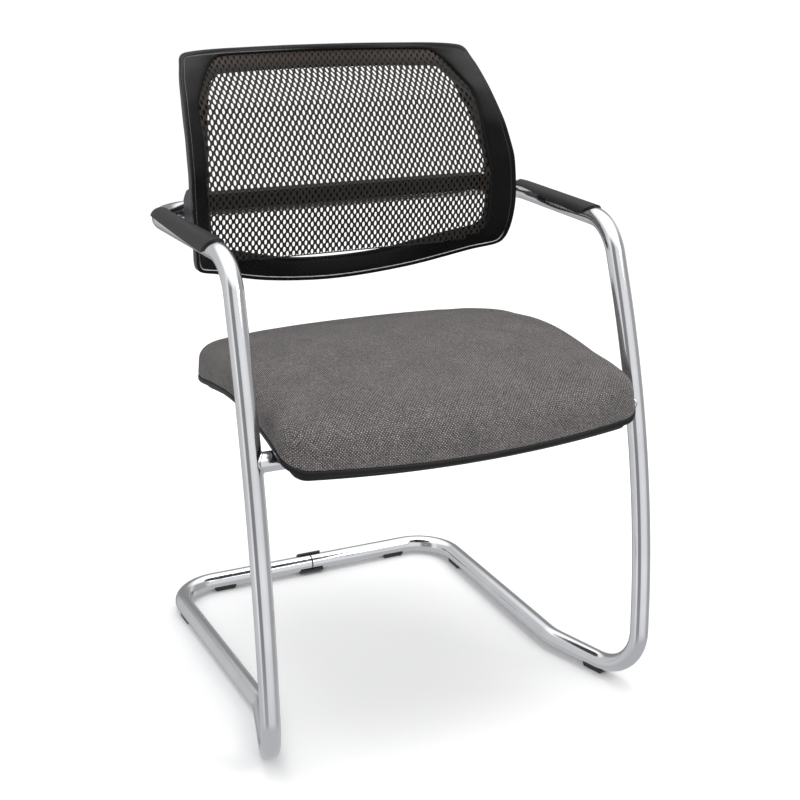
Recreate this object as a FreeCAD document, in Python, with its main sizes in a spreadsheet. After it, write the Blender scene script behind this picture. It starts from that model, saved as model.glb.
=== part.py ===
import FreeCAD, Part
import math
import os

import Sketcher
from FreeCAD import Placement, Rotation, Vector

# Sled base visitor chair. Millimetres, +Z up, -Y is the front of the seat.
# The origin is the middle of the chair's outer box, on the floor.

os.makedirs("parts", exist_ok=True)

doc = FreeCAD.newDocument("VisitorChair")
sheet = doc.addObject("Spreadsheet::Sheet", "Dimensions")

# ---------------------------------------------------------------- dimensions
DIMS = [
    # bent tube frame
    ("tube_dia", 25.0, "outside diameter of the frame tube"),
    ("tube_wall", 2.0, "wall of the frame tube"),
    ("axis_height", 16.5, "height of the floor tube's axis"),
    ("rear_bar_y", 282.23, "rear floor bar"),
    ("rear_corner_x", 233.8, "rear floor corner"),
    ("rear_bend", 65.5, "bend radius there"),
    ("kink_x", 226.1, "where the floor rail turns outwards"),
    ("kink_y", -109.7, "the same, along the rail"),
    ("kink_bend", 86.0, "bend radius there"),
    ("front_corner_x", 268.6, "front floor corner"),
    ("front_corner_y", -266.8, "the same, to the front"),
    ("front_bend", 70.0, "bend radius there"),
    ("leg_mid_x", 270.7, "apex of the bowed leg"),
    ("leg_mid_y", -260.4, "the same"),
    ("leg_mid_z", 330.7, "the same"),
    ("leg_bow", 1600.0, "bow radius of the leg"),
    ("arm_front_x", 262.55, "front end of the arm"),
    ("arm_front_y", -159.2, "the same"),
    ("arm_front_z", 638.3, "the same"),
    ("arm_bend", 60.0, "bend radius there"),
    ("arm_rear_x", 275.4, "rear end of the arm"),
    ("arm_rear_y", 141.0, "the same, and the bar behind the back"),
    ("arm_rear_z", 643.1, "the same"),
    ("arm_rear_bend", 60.6, "bend radius there"),
    # joints of the two tube halves
    ("seam_gap", 1.2, "thickness of the ring in the floor seam"),
    ("sleeve_len", 84.0, "length of a joint sleeve"),
    ("sleeve_bore", 7.5, "bore radius of a joint sleeve"),
    ("ring_radius", 12.9, "outside radius of the seam ring"),
    ("clip_wall", 4.0, "wall of the joint clip"),
    ("clip_width", 38.0, "width of the joint clip"),
    ("clip_angle", 215.0, "angle that the clip covers"),
    ("joint_screw_rad", 2.0, "joint screw shank radius"),
    # glides
    ("glide_top", 38.0, "length of a glide at its top"),
    ("glide_foot", 31.0, "length of a glide at the floor"),
    ("glide_width", 15.0, "width of a glide"),
    ("glide_high", 7.5, "height of a glide's block"),
    ("peg_rad", 3.0, "peg radius of a glide or an arm pad"),
    ("peg_len", 9.0, "peg length of a glide"),
    # seat support
    ("cross_y", -226.2, "seat cross tube"),
    ("cross_z", 407.0, "the same"),
    ("cross_half", 262.0, "half length of the seat cross tube"),
    ("rail_x", 150.0, "seat rail from the middle plane"),
    ("rail_width", 25.0, "width of a seat rail"),
    ("rail_high", 12.0, "height of a seat rail"),
    ("rail_top", 413.0, "top of the seat rails"),
    ("rail_wall", 1.5, "wall of a seat rail"),
    ("rail_end_y", 44.0, "rear end of the seat rails"),
    ("tie_deep", 20.0, "depth of the rear tie"),
    # seat
    ("seat_front_y", -298.7, "front edge at the middle"),
    ("seat_front_bow", 18.2, "bow of the front edge"),
    ("seat_half_front", 245.9, "half width at the front"),
    ("seat_half_mid", 241.0, "half width at the middle"),
    ("seat_half_rear", 250.2, "half width at the rear"),
    ("seat_rear_y", 145.9, "rear edge at the middle"),
    ("seat_rear_bow", 35.9, "bow of the rear edge"),
    ("seat_front_round", 32.0, "front corner radius"),
    ("seat_rear_round", 96.0, "rear corner radius"),
    ("lip_high", 6.5, "height of the shell's lip"),
    ("shell_deep", 17.0, "depth of the shell under its rim"),
    ("shell_wall", 3.0, "wall of the shell"),
    ("shell_inset", 9.0, "step from the lip to the shell"),
    ("board_inset", 6.0, "edge of the board inside the cover"),
    ("board_thick", 9.0, "plywood thickness"),
    ("cushion_high", 46.0, "cushion over the rim"),
    ("cushion_round", 17.0, "rounding of the cushion's top edge"),
    ("boss_rad", 11.0, "bolt boss radius"),
    ("bolt_rad", 3.0, "seat bolt shank radius"),
    ("bolt_head_rad", 5.5, "seat bolt head radius"),
    ("bolt_head_high", 3.5, "seat bolt head height"),
    ("nut_rad", 4.5, "tee nut barrel radius"),
    ("nut_flange_rad", 9.0, "tee nut flange radius"),
    ("nut_flange_high", 1.5, "tee nut flange height"),
    # arm pads
    ("pad_rad", 15.3, "outside radius of an arm pad"),
    # back
    ("bezel_thick", 4.5, "thickness of the front bezel"),
    ("mesh_thick", 1.0, "thickness of the mesh"),
    ("mesh_low", 577.5, "free lower edge of the mesh"),
    ("bar_low", 644.4, "lower edge of the carrier bar"),
    ("bar_high", 21.3, "height of the carrier bar"),
    ("bar_half", 222.0, "half length of the carrier bar"),
    ("bar_front_y", 112.0, "front face of the carrier bar"),
    ("bar_rear_y", 140.0, "rear face of the carrier bar"),
    ("bar_screw_rad", 2.0, "shank radius of the carrier bar's screws"),
    ("bar_head_rad", 4.0, "head radius of the carrier bar's screws"),
    ("lug_in_x", 224.0, "inner side of a rear frame lug"),
    ("lug_wide", 14.2, "width of a rear frame lug"),
    ("lug_rear_y", 103.0, "rear end of a rear frame lug"),
    ("back_bolt_x", 231.0, "place of the back bolts"),
    ("back_bolt_rad", 3.0, "back bolt shank radius"),
    ("back_head_rad", 5.5, "back bolt head radius"),
    ("spacer_rad", 5.0, "spacer radius"),
    ("small_screw_rad", 1.5, "bezel screw shank radius"),
    ("small_head_rad", 3.0, "bezel screw head radius"),
]
for row, (alias, value, note) in enumerate(DIMS, start=1):
    sheet.set("A%d" % row, alias)
    sheet.set("B%d" % row, str(value))
    sheet.set("C%d" % row, note)
    sheet.setAlias("B%d" % row, alias)
doc.recompute()


def dim(alias):
    """A driving dimension, read from the sheet."""
    return float(sheet.get(alias))


def ref(alias):
    return "Dimensions." + alias


# ------------------------------------------------------------------- helpers
def bind(obj, **exprs):
    for prop, expr in exprs.items():
        obj.setExpression(prop, expr)


def turn_to(direction):
    """Rotation that takes +Z to a direction."""
    return Rotation(Vector(0, 0, 1), Vector(direction))


def cylinder(name, radius, height, base, direction=(0, 0, 1), angle=None):
    obj = doc.addObject("Part::Cylinder", name)
    bind(obj, Radius=radius, Height=height)
    if angle is not None:
        bind(obj, Angle=angle)
    obj.Placement = Placement(Vector(*base), turn_to(direction))
    return obj


def box(name, length, width, height, base):
    obj = doc.addObject("Part::Box", name)
    bind(obj, Length=length, Width=width, Height=height)
    obj.Placement = Placement(Vector(*base), Rotation())
    return obj


def group(name, objs):
    obj = doc.addObject("Part::Compound", name)
    obj.Links = objs
    return obj


def cut(name, base, tool):
    obj = doc.addObject("Part::Cut", name)
    obj.Base = base
    obj.Tool = tool
    return obj


def common(name, base, tool):
    obj = doc.addObject("Part::Common", name)
    obj.Base = base
    obj.Tool = tool
    return obj


def fuse(name, objs):
    obj = doc.addObject("Part::MultiFuse", name)
    obj.Shapes = objs
    return obj


def mirror(name, source):
    obj = doc.addObject("Part::Mirroring", name)
    obj.Source = source
    obj.Base = Vector(0, 0, 0)
    obj.Normal = Vector(1, 0, 0)
    return obj


def plain(name, shape):
    """A shape worked out here, for curved sheets that no primitive makes."""
    obj = doc.addObject("Part::Feature", name)
    obj.Shape = shape
    obj.Placement = Placement()
    return obj


def origin_plane(body, role):
    return [f for f in body.Origin.OriginFeatures if f.Role == role][0]


def new_body(name):
    return doc.addObject("PartDesign::Body", name)


def new_sketch(body, name, role):
    sk = body.newObject("Sketcher::SketchObject", name)
    sk.AttachmentSupport = [(origin_plane(body, role), "")]
    sk.MapMode = "FlatFace"
    return sk


def closed_lines(sk, pts):
    """A closed polygon with its corners joined."""
    n = len(pts)
    ids = []
    for i in range(n):
        a, b = pts[i], pts[(i + 1) % n]
        ids.append(sk.addGeometry(Part.LineSegment(Vector(a[0], a[1], 0), Vector(b[0], b[1], 0)), False))
    for i in range(n):
        sk.addConstraint(Sketcher.Constraint("Coincident", ids[i], 2, ids[(i + 1) % n], 1))
    return ids


def sized_rect(sk, x0, y0, w, h, wexpr, hexpr):
    ids = closed_lines(sk, [(x0, y0), (x0 + w, y0), (x0 + w, y0 + h), (x0, y0 + h)])
    for i, kind in zip(ids, ("Horizontal", "Vertical", "Horizontal", "Vertical")):
        sk.addConstraint(Sketcher.Constraint(kind, i))
    cw = sk.addConstraint(Sketcher.Constraint("DistanceX", ids[0], 1, ids[0], 2, w))
    ch = sk.addConstraint(Sketcher.Constraint("DistanceY", ids[1], 1, ids[1], 2, h))
    cx = sk.addConstraint(Sketcher.Constraint("DistanceX", -1, 1, ids[0], 1, x0))
    cy = sk.addConstraint(Sketcher.Constraint("DistanceY", -1, 1, ids[0], 1, y0))
    sk.setExpression("Constraints[%d]" % cw, wexpr)
    sk.setExpression("Constraints[%d]" % ch, hexpr)
    return cx, cy


def pad(body, sk, length, symmetric=False, reverse=False):
    p = body.newObject("PartDesign::Pad", sk.Name + "Pad")
    p.Profile = sk
    p.setExpression("Length", length)
    if symmetric:
        p.SideType = "Symmetric"
    p.Reversed = reverse
    doc.recompute()
    return p


NODES = []


def node(label, obj):
    obj.Label = label
    NODES.append((label, obj))
    return obj


# ------------------------------------------------------- the frame's tube path
def rounded_path(points, radii):
    """Straight runs joined by tangent arcs."""
    edges = []
    cur = points[0]
    for i in range(1, len(points) - 1):
        u = (points[i - 1] - points[i]).normalize()
        v = (points[i + 1] - points[i]).normalize()
        half = math.acos(max(-1.0, min(1.0, u.dot(v)))) / 2.0
        back = radii[i] / math.tan(half)
        p = points[i] + u * back
        q = points[i] + v * back
        w = (u + v).normalize()
        mid = points[i] + w * (radii[i] / math.sin(half) - radii[i])
        if (p - cur).Length > 1e-3:
            edges.append(Part.LineSegment(cur, p).toShape())
        edges.append(Part.Arc(p, mid, q).toShape())
        cur = q
    edges.append(Part.LineSegment(cur, points[-1]).toShape())
    return Part.Wire(edges)


AH = dim("axis_height")
REAR_Y = dim("rear_bar_y")
ARM_Y = dim("arm_rear_y")
ARM_Z = dim("arm_rear_z")
corner_points = [
    Vector(dim("seam_gap") / 2.0, REAR_Y, AH),
    Vector(dim("rear_corner_x"), REAR_Y, AH),
    Vector(dim("kink_x"), dim("kink_y"), AH),
    Vector(dim("front_corner_x"), dim("front_corner_y"), AH),
    Vector(dim("leg_mid_x"), dim("leg_mid_y"), dim("leg_mid_z")),
    Vector(dim("arm_front_x"), dim("arm_front_y"), dim("arm_front_z")),
    Vector(dim("arm_rear_x"), ARM_Y, ARM_Z),
    Vector(0, ARM_Y, ARM_Z),
]
corner_radii = [0, dim("rear_bend"), dim("kink_bend"), dim("front_bend"), dim("leg_bow"),
                dim("arm_bend"), dim("arm_rear_bend"), 0]
tube_path = plain("TubePath", rounded_path(corner_points, corner_radii))
path_edges = ["Edge%d" % (i + 1) for i in range(len(tube_path.Shape.Edges))]


def sweep(name, radius_expr):
    ring = doc.addObject("Part::Circle", name + "Section")
    bind(ring, Radius=radius_expr)
    ring.Placement = Placement(corner_points[0], turn_to((1, 0, 0)))
    obj = doc.addObject("Part::Sweep", name)
    obj.Sections = [ring]
    obj.Spine = (tube_path, path_edges)
    obj.Solid = True
    obj.Frenet = False
    obj.Transition = "Transformed"
    return obj


rod_right = sweep("RodRight", ref("tube_dia") + " / 2")
bore_right = sweep("BoreRight", ref("tube_dia") + " / 2 - " + ref("tube_wall"))
rod_left = mirror("RodLeft", rod_right)
doc.recompute()
RODS = group("Rods", [rod_right, rod_left])


def along(a, b, s):
    d = (b - a).normalize()
    return a + d * s


# where the glides sit under the right half: name, point on the tube axis, direction
P = corner_points
front_dir = (P[3] - P[2]).normalize()
rail_dir = (P[2] - P[1]).normalize()
GLIDES = [
    ("front", along(P[2], P[3], 87.0), front_dir),
    ("rail", along(P[1], P[2], 79.5), rail_dir),
    ("rear", Vector(148.5, REAR_Y, AH), Vector(1, 0, 0)),
]
# where an arm pad's pegs enter the tube's upper wall
arm_dir = (P[6] - P[5]).normalize()
ARM_PEGS = [along(P[5], P[6], 74.0), along(P[5], P[6], 216.0)]

# --------------------------------------------------------------- frame tubes
hole_tools = []
for gname, at, direction in GLIDES:
    hole_tools.append(cylinder("PegHole_" + gname, ref("peg_rad"), ref("peg_len"), (at.x, at.y, 1.5)))
for i, at in enumerate(ARM_PEGS):
    hole_tools.append(cylinder("ArmPegHole_%d" % i, ref("peg_rad"), "9", (at.x, at.y, at.z + 7.0)))
hole_tools.append(cylinder("FloorScrewHole", ref("joint_screw_rad"), "10", (28.0, REAR_Y, AH - 14.0)))
hole_tools.append(cylinder("BackBoltHole", ref("back_bolt_rad"), "45", (dim("back_bolt_x"), 114.0, ARM_Z), (0, 1, 0)))
hole_tools.append(cylinder("BarScrewHole", ref("bar_screw_rad"), "14", (120.0, 134.0, ARM_Z)))
hole_tools.append(cylinder("TopScrewHole", ref("joint_screw_rad"), "10", (28.0, ARM_Y + 4.0, ARM_Z), (0, 1, 0)))
hole_set = group("TubeHoles", hole_tools)
hollow = cut("HollowRight", rod_right, bore_right)
tube_right = cut("TubeRight", hollow, hole_set)
tube_left = mirror("TubeLeft", tube_right)
node("frame_tube_right", tube_right)
node("frame_tube_left", tube_left)

# -------------------------------------------- sleeves inside the two tube joints
HALF = dim("sleeve_len") / 2.0


def sleeve(name, y, z, screw_dir):
    core = cylinder(name + "Core", ref("tube_dia") + " / 2 - " + ref("tube_wall"), ref("sleeve_len"),
                    (-HALF, y, z), (1, 0, 0))
    bore = cylinder(name + "Bore", ref("sleeve_bore"), ref("sleeve_len") + " + 2", (-HALF - 1, y, z), (1, 0, 0))
    tools = [bore]
    for side in (-1, 1):
        d = Vector(*screw_dir)
        base = Vector(side * 28.0, y, z) + d * 5.0
        tools.append(cylinder(name + "Hole%s" % ("L" if side < 0 else "R"), ref("joint_screw_rad"), "10",
                              tuple(base), screw_dir))
    return cut(name, core, group(name + "Cuts", tools))


node("floor_joint_sleeve", sleeve("FloorSleeve", REAR_Y, AH, (0, 0, -1)))
node("top_joint_sleeve", sleeve("TopSleeve", ARM_Y, ARM_Z, (0, 1, 0)))

ring_out = cylinder("RingOuter", ref("ring_radius"), ref("seam_gap"), (-dim("seam_gap") / 2.0, REAR_Y, AH), (1, 0, 0))
ring_in = cylinder("RingInner", ref("tube_dia") + " / 2 - " + ref("tube_wall"), ref("seam_gap") + " + 2",
                   (-dim("seam_gap") / 2.0 - 1, REAR_Y, AH), (1, 0, 0))
node("floor_joint_ring", cut("SeamRing", ring_out, ring_in))

# C-shaped clip: from the upper rear of the bar, round the rear, to the lower front
clip_out = doc.addObject("Part::Cylinder", "ClipOuter")
bind(clip_out, Radius=ref("tube_dia") + " / 2 + " + ref("clip_wall"), Height=ref("clip_width"), Angle=ref("clip_angle"))
start = math.radians(-140.0)
xdir = Vector(0, math.cos(start), math.sin(start))
zdir = Vector(1, 0, 0)
ydir = zdir.cross(xdir)
clip_out.Placement = Placement(Vector(-dim("clip_width") / 2.0, REAR_Y, AH), Rotation(xdir, ydir, zdir, "ZXY"))
clip_in = cylinder("ClipInner", ref("tube_dia") + " / 2", ref("clip_width") + " + 2",
                   (-dim("clip_width") / 2.0 - 1, REAR_Y, AH), (1, 0, 0))
clip_ring = cylinder("ClipRingSpace", ref("ring_radius"), ref("seam_gap"),
                     (-dim("seam_gap") / 2.0, REAR_Y, AH), (1, 0, 0))
node("floor_joint_clip", cut("JointClip", clip_out, group("ClipCuts", [clip_in, clip_ring])))

# joint screws: two from below at the floor, two from behind at the top bar
screws = []
for tag, y, z, d in (("Floor", REAR_Y, AH, Vector(0, 0, -1)), ("Top", ARM_Y, ARM_Z, Vector(0, 1, 0))):
    for side in (-1, 1):
        sname = "JointScrew%s%s" % (tag, "L" if side < 0 else "R")
        base = Vector(side * 28.0, y, z) + d * 8.0
        shank = cylinder(sname + "Shank", ref("joint_screw_rad"), "4.6", tuple(base), tuple(d))
        headb = Vector(side * 28.0, y, z) + d * 12.55
        head = cylinder(sname + "Head", "3.4", "1.6", tuple(headb), tuple(d))
        screws.append(fuse(sname, [shank, head]))
node("joint_screws", group("JointScrews", screws))


# -------------------------------------------------------------------- glides
def glide(tag, side, at, direction):
    name = "Glide" + tag.capitalize() + ("Left" if side < 0 else "Right")
    pos = Vector(side * at.x, at.y, 0)
    d = Vector(side * direction.x, direction.y, 0)
    body = new_body(name + "Body")
    sk = new_sketch(body, name + "Side", "XZ_Plane")
    top, foot, high = dim("glide_top") / 2, dim("glide_foot") / 2, dim("glide_high")
    ids = closed_lines(sk, [(-foot, 0), (foot, 0), (top, high), (-top, high)])
    sk.addConstraint(Sketcher.Constraint("Horizontal", ids[0]))
    sk.addConstraint(Sketcher.Constraint("Symmetric", ids[0], 1, ids[0], 2, -1, 1))
    sk.addConstraint(Sketcher.Constraint("Symmetric", ids[2], 1, ids[2], 2, -2))
    c1 = sk.addConstraint(Sketcher.Constraint("DistanceX", ids[0], 1, ids[0], 2, 2 * foot))
    c2 = sk.addConstraint(Sketcher.Constraint("DistanceX", ids[2], 2, ids[2], 1, 2 * top))
    c3 = sk.addConstraint(Sketcher.Constraint("DistanceY", ids[1], 1, ids[1], 2, high))
    sk.setExpression("Constraints[%d]" % c1, ref("glide_foot"))
    sk.setExpression("Constraints[%d]" % c2, ref("glide_top"))
    sk.setExpression("Constraints[%d]" % c3, ref("glide_high"))
    pad(body, sk, ref("glide_width"), symmetric=True)
    body.Placement = Placement(pos, Rotation(Vector(1, 0, 0), d))
    saddle = cut(name + "Saddle", body, rod_right if side > 0 else rod_left)
    peg = cylinder(name + "Peg", ref("peg_rad"), ref("peg_len") + " - 2", (pos.x, pos.y, 2.0))
    return fuse(name, [saddle, peg])


for tag, at, direction in GLIDES:
    node("glide_%s_left" % tag, glide(tag, -1, at, direction))
    node("glide_%s_right" % tag, glide(tag, 1, at, direction))

# -------------------------------------------------------------- seat support
CY, CZ = dim("cross_y"), dim("cross_z")
CH = dim("cross_half")
cross_out = cylinder("CrossOuter", ref("tube_dia") + " / 2", "2 * " + ref("cross_half"), (-CH, CY, CZ), (1, 0, 0))
cross_in = cylinder("CrossInner", ref("tube_dia") + " / 2 - " + ref("tube_wall"), "2 * " + ref("cross_half") + " + 2",
                    (-CH - 1, CY, CZ), (1, 0, 0))
cross = cut("CrossTube", cut("CrossHollow", cross_out, cross_in), RODS)
node("seat_cross_tube", cross)

RX, RW, RH, RT = dim("rail_x"), dim("rail_width"), dim("rail_high"), dim("rail_top")
WALL = dim("rail_wall")
BOLTS = [(side * RX, y) for side in (-1, 1) for y in (-186.2, 13.8)]


def box_tube(name, role, x0, z0, w, h, wexpr, hexpr):
    """A rectangular tube: its two outlines in one sketch."""
    body = new_body(name + "Body")
    sk = new_sketch(body, name + "Section", role)
    sized_rect(sk, x0, z0, w, h, wexpr, hexpr)
    sized_rect(sk, x0 + WALL, z0 + WALL, w - 2 * WALL, h - 2 * WALL,
               wexpr + " - 2 * " + ref("rail_wall"), hexpr + " - 2 * " + ref("rail_wall"))
    return body, sk


bolt_shafts = []
for i, (bx, by) in enumerate(BOLTS):
    bolt_shafts.append(cylinder("RailHole%d" % i, ref("bolt_rad"), "40", (bx, by, RT - RH - 5)))
cross_solid = cylinder("CrossSolid", ref("tube_dia") + " / 2", "2 * " + ref("cross_half"), (-CH, CY, CZ), (1, 0, 0))
rail_len = dim("rail_end_y") - CY
for side, tag in ((-1, "Left"), (1, "Right")):
    body, sk = box_tube("Rail" + tag, "XZ_Plane", side * RX - RW / 2, RT - RH, RW, RH, ref("rail_width"), ref("rail_high"))
    pad(body, sk, ref("rail_end_y") + " - " + ref("cross_y"), reverse=True)
    body.Placement = Placement(Vector(0, CY, 0), Rotation())
    tools = group("RailCuts" + tag, [cross_solid] + [s for s, b in zip(bolt_shafts, BOLTS) if b[0] * side > 0])
    node("seat_rail_" + tag.lower(), cut("SeatRail" + tag, body, tools))

tie_body, tie_sk = box_tube("Tie", "YZ_Plane", 14.0, RT - RH, dim("tie_deep"), RH, ref("tie_deep"), ref("rail_high"))
pad(tie_body, tie_sk, "2 * " + ref("rail_x") + " - " + ref("rail_width"), symmetric=True)
node("seat_rear_tie", tie_body)

# ---------------------------------------------------------------------- seat
# height of the seat's rim from front to rear: it falls over the front edge
RIM = [(-330.0, 374.0), (-312.0, 389.4), (-296.2, 401.2), (-251.2, 421.8), (-191.2, 433.0), (-81.2, 444.1),
       (38.8, 435.3), (110.0, 427.5), (160.0, 422.0)]
# underside of the tub along its front
NOSE = [(-312.0, 372.5), (-296.2, 380.5), (-280.0, 387.5), (-262.0, 395.5), (-246.0, 405.5)]
rim_curve = Part.BSplineCurve()
rim_curve.interpolate([Vector(0, y, z) for y, z in RIM])


def rim_z(y):
    """Height of the rim at a depth."""
    lo, hi = rim_curve.FirstParameter, rim_curve.LastParameter
    for _ in range(60):
        mid = (lo + hi) / 2
        if rim_curve.value(mid).y < y:
            lo = mid
        else:
            hi = mid
    return rim_curve.value((lo + hi) / 2).z


def rim_slab(name, low, high, half=275.0):
    """The layer between two offsets of the rim curve, across the whole width."""
    edges = []
    for off in (low, high):
        c = Part.BSplineCurve()
        c.interpolate([Vector(-half, y, z + off) for y, z in RIM])
        edges.append(c.toShape())
    y0, z0 = RIM[0]
    y1, z1 = RIM[-1]
    edges.append(Part.LineSegment(Vector(-half, y0, z0 + low), Vector(-half, y0, z0 + high)).toShape())
    edges.append(Part.LineSegment(Vector(-half, y1, z1 + low), Vector(-half, y1, z1 + high)).toShape())
    face = Part.Face(Part.Wire(Part.__sortEdges__(edges)))
    return plain(name, face.extrude(Vector(2 * half, 0, 0)))


def plan_prism(name, inset):
    """The seat's plan, drawn in by an inset, with its four corners rounded."""
    body = new_body(name)
    sk = new_sketch(body, name + "Plan", "XY_Plane")
    fw, mw, rw = dim("seat_half_front") - inset, dim("seat_half_mid") - inset, dim("seat_half_rear") - inset
    fy = dim("seat_front_y") + inset
    fc = fy + dim("seat_front_bow")
    ry = dim("seat_rear_y") - inset
    rc = ry - dim("seat_rear_bow")
    my = (fc + rc) / 2

    def arc(a, b, c):
        return sk.addGeometry(Part.Arc(Vector(a[0], a[1], 0), Vector(b[0], b[1], 0), Vector(c[0], c[1], 0)), False)

    arc((-fw, fc), (0, fy), (fw, fc))
    arc((fw, fc), (mw, my), (rw, rc))
    arc((rw, rc), (0, ry), (-rw, rc))
    arc((-rw, rc), (-mw, my), (-fw, fc))
    p = pad(body, sk, "560")
    front, rear = [], []
    for i, e in enumerate(p.Shape.Edges):
        if len(e.Vertexes) == 2 and abs(e.Vertexes[0].Point.z - e.Vertexes[1].Point.z) > 100:
            (front if e.Vertexes[0].Point.y < -100 else rear).append("Edge%d" % (i + 1))
    f1 = body.newObject("PartDesign::Fillet", name + "RearRound")
    f1.Base = (p, rear)
    f1.setExpression("Radius", "%s - %s" % (ref("seat_rear_round"), inset))
    doc.recompute()
    front = ["Edge%d" % (i + 1) for i, e in enumerate(f1.Shape.Edges)
             if len(e.Vertexes) == 2 and abs(e.Vertexes[0].Point.z - e.Vertexes[1].Point.z) > 100
             and e.Vertexes[0].Point.y < -100 and e.Curve.TypeId == "Part::GeomLine"]
    f2 = body.newObject("PartDesign::Fillet", name + "FrontRound")
    f2.Base = (f1, front)
    f2.setExpression("Radius", "%s - %s" % (ref("seat_front_round"), inset))
    doc.recompute()
    return body


LIP, DEEP, SW = dim("lip_high"), dim("shell_deep"), dim("shell_wall")
BT = dim("board_thick")
plan_full = plan_prism("PlanFull", 0)
plan_tub = plan_prism("PlanTub", dim("shell_inset"))
plan_hollow = plan_prism("PlanHollow", dim("shell_inset") + SW)
plan_board = plan_prism("PlanBoard", dim("board_inset"))

slab_lip = rim_slab("SlabLip", -LIP, 0.0)
slab_tub = rim_slab("SlabTub", -DEEP, -LIP + 0.5)
# the tub is deeper along its front edge, and rises to its usual depth before the cross tube
nose_low = Part.BSplineCurve()
nose_low.interpolate([Vector(-275, y, z) for y, z in NOSE])
nose_top = [Vector(-275, y, rim_z(y) - LIP - 2.0) for y in (NOSE[-1][0], NOSE[0][0])]
nose_wire = Part.Wire([nose_low.toShape(), Part.LineSegment(nose_low.EndPoint, nose_top[0]).toShape(),
                       Part.LineSegment(nose_top[0], nose_top[1]).toShape(), Part.LineSegment(nose_top[1], nose_low.StartPoint).toShape()])
slab_nose = plain("SlabNose", Part.Face(nose_wire).extrude(Vector(550, 0, 0)))
slab_hollow = rim_slab("SlabHollow", -DEEP + SW, 1.0)
slab_board = rim_slab("SlabBoard", 0.0, BT)
slab_cushion = rim_slab("SlabCushion", 0.0, dim("cushion_high"))

# bolts from below the rails up into tee nuts in the board
bolt_solids, nut_solids, nut_spaces, boss_up, boss_low = [], [], [], [], []
for i, (bx, by) in enumerate(BOLTS):
    zr = rim_z(by)
    shank = cylinder("BoltShank%d" % i, ref("bolt_rad"), "%.3f - (%s - %s)" % (zr + BT + 1.0, ref("rail_top"), ref("rail_high")),
                     (bx, by, RT - RH))
    head = cylinder("BoltHead%d" % i, ref("bolt_head_rad"), ref("bolt_head_high"), (bx, by, RT - RH - dim("bolt_head_high")))
    bolt_solids.append(fuse("SeatBolt%d" % i, [shank, head]))
    flange = cylinder("NutFlange%d" % i, ref("nut_flange_rad"), ref("nut_flange_high"), (bx, by, zr + BT))
    barrel = cylinder("NutBarrel%d" % i, ref("nut_rad"), ref("board_thick"), (bx, by, zr))
    solid = fuse("NutSolid%d" % i, [flange, barrel])
    thread = cylinder("NutThread%d" % i, ref("bolt_rad"), "30", (bx, by, zr - 5))
    nut_solids.append(cut("TeeNut%d" % i, solid, thread))
    nut_spaces.append(cylinder("NutSpaceA%d" % i, ref("nut_flange_rad"), "2.6", (bx, by, zr + BT)))
    nut_spaces.append(cylinder("NutSpaceB%d" % i, ref("nut_rad"), ref("board_thick") + " + 2", (bx, by, zr - 1)))
    boss_up.append(cylinder("BossUp%d" % i, ref("boss_rad"), "40", (bx, by, zr - 30)))
    boss_low.append(cylinder("BossLow%d" % i, ref("boss_rad") + " + 1.5", "%.3f - %s" % (zr - DEEP + 2.0, ref("rail_top")), (bx, by, RT)))
node("seat_bolts", group("SeatBolts", bolt_solids))
node("seat_tee_nuts", group("SeatTeeNuts", nut_solids))

# shell: a lip all round over a shallower tub, hollow, with four bolt bosses
shell_outer = fuse("ShellOuter", [common("ShellLip", plan_full, slab_lip), common("ShellTub", plan_tub, slab_tub),
                                  common("ShellNose", plan_tub, slab_nose)])
hollow_full = common("ShellHollowFull", plan_hollow, slab_hollow)
hollow_space = cut("ShellHollow", hollow_full, group("BossSet", boss_up))
shell_tray = cut("ShellTray", shell_outer, hollow_space)
shell_boss = fuse("ShellBossed", [shell_tray] + boss_low)
shell_holes = [cylinder("ShellBolt%d" % i, ref("bolt_rad"), "60", (bx, by, RT - 6)) for i, (bx, by) in enumerate(BOLTS)]
cross_space = cylinder("CrossSpace", ref("tube_dia") + " / 2 + 0.5", "2 * " + ref("cross_half"), (-CH, CY, CZ), (1, 0, 0))
node("seat_shell", cut("SeatShell", shell_boss, group("ShellCuts", shell_holes + [cross_space])))

board_raw = common("BoardRaw", plan_board, slab_board)
node("seat_board", cut("SeatBoard", board_raw, group("BoardCuts", nut_spaces)))

cushion_raw = common("CushionRaw", plan_full, slab_cushion)
doc.recompute()
top_edges = []
for i, e in enumerate(cushion_raw.Shape.Edges):
    pts = e.discretize(5)
    if all(abs(p.z - (rim_z(max(-329, min(159, p.y))) + dim("cushion_high"))) < 0.6 for p in pts):
        top_edges.append((i + 1, dim("cushion_round"), dim("cushion_round")))
cushion_round = doc.addObject("Part::Fillet", "CushionRound")
cushion_round.Base = cushion_raw
cushion_round.Edges = top_edges
board_space = common("BoardSpace", plan_board, rim_slab("SlabBoardSpace", -1.0, BT))
node("seat_cushion", cut("SeatCushion", cushion_round, group("CushionCuts", [board_space] + nut_spaces[::2])))

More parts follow.
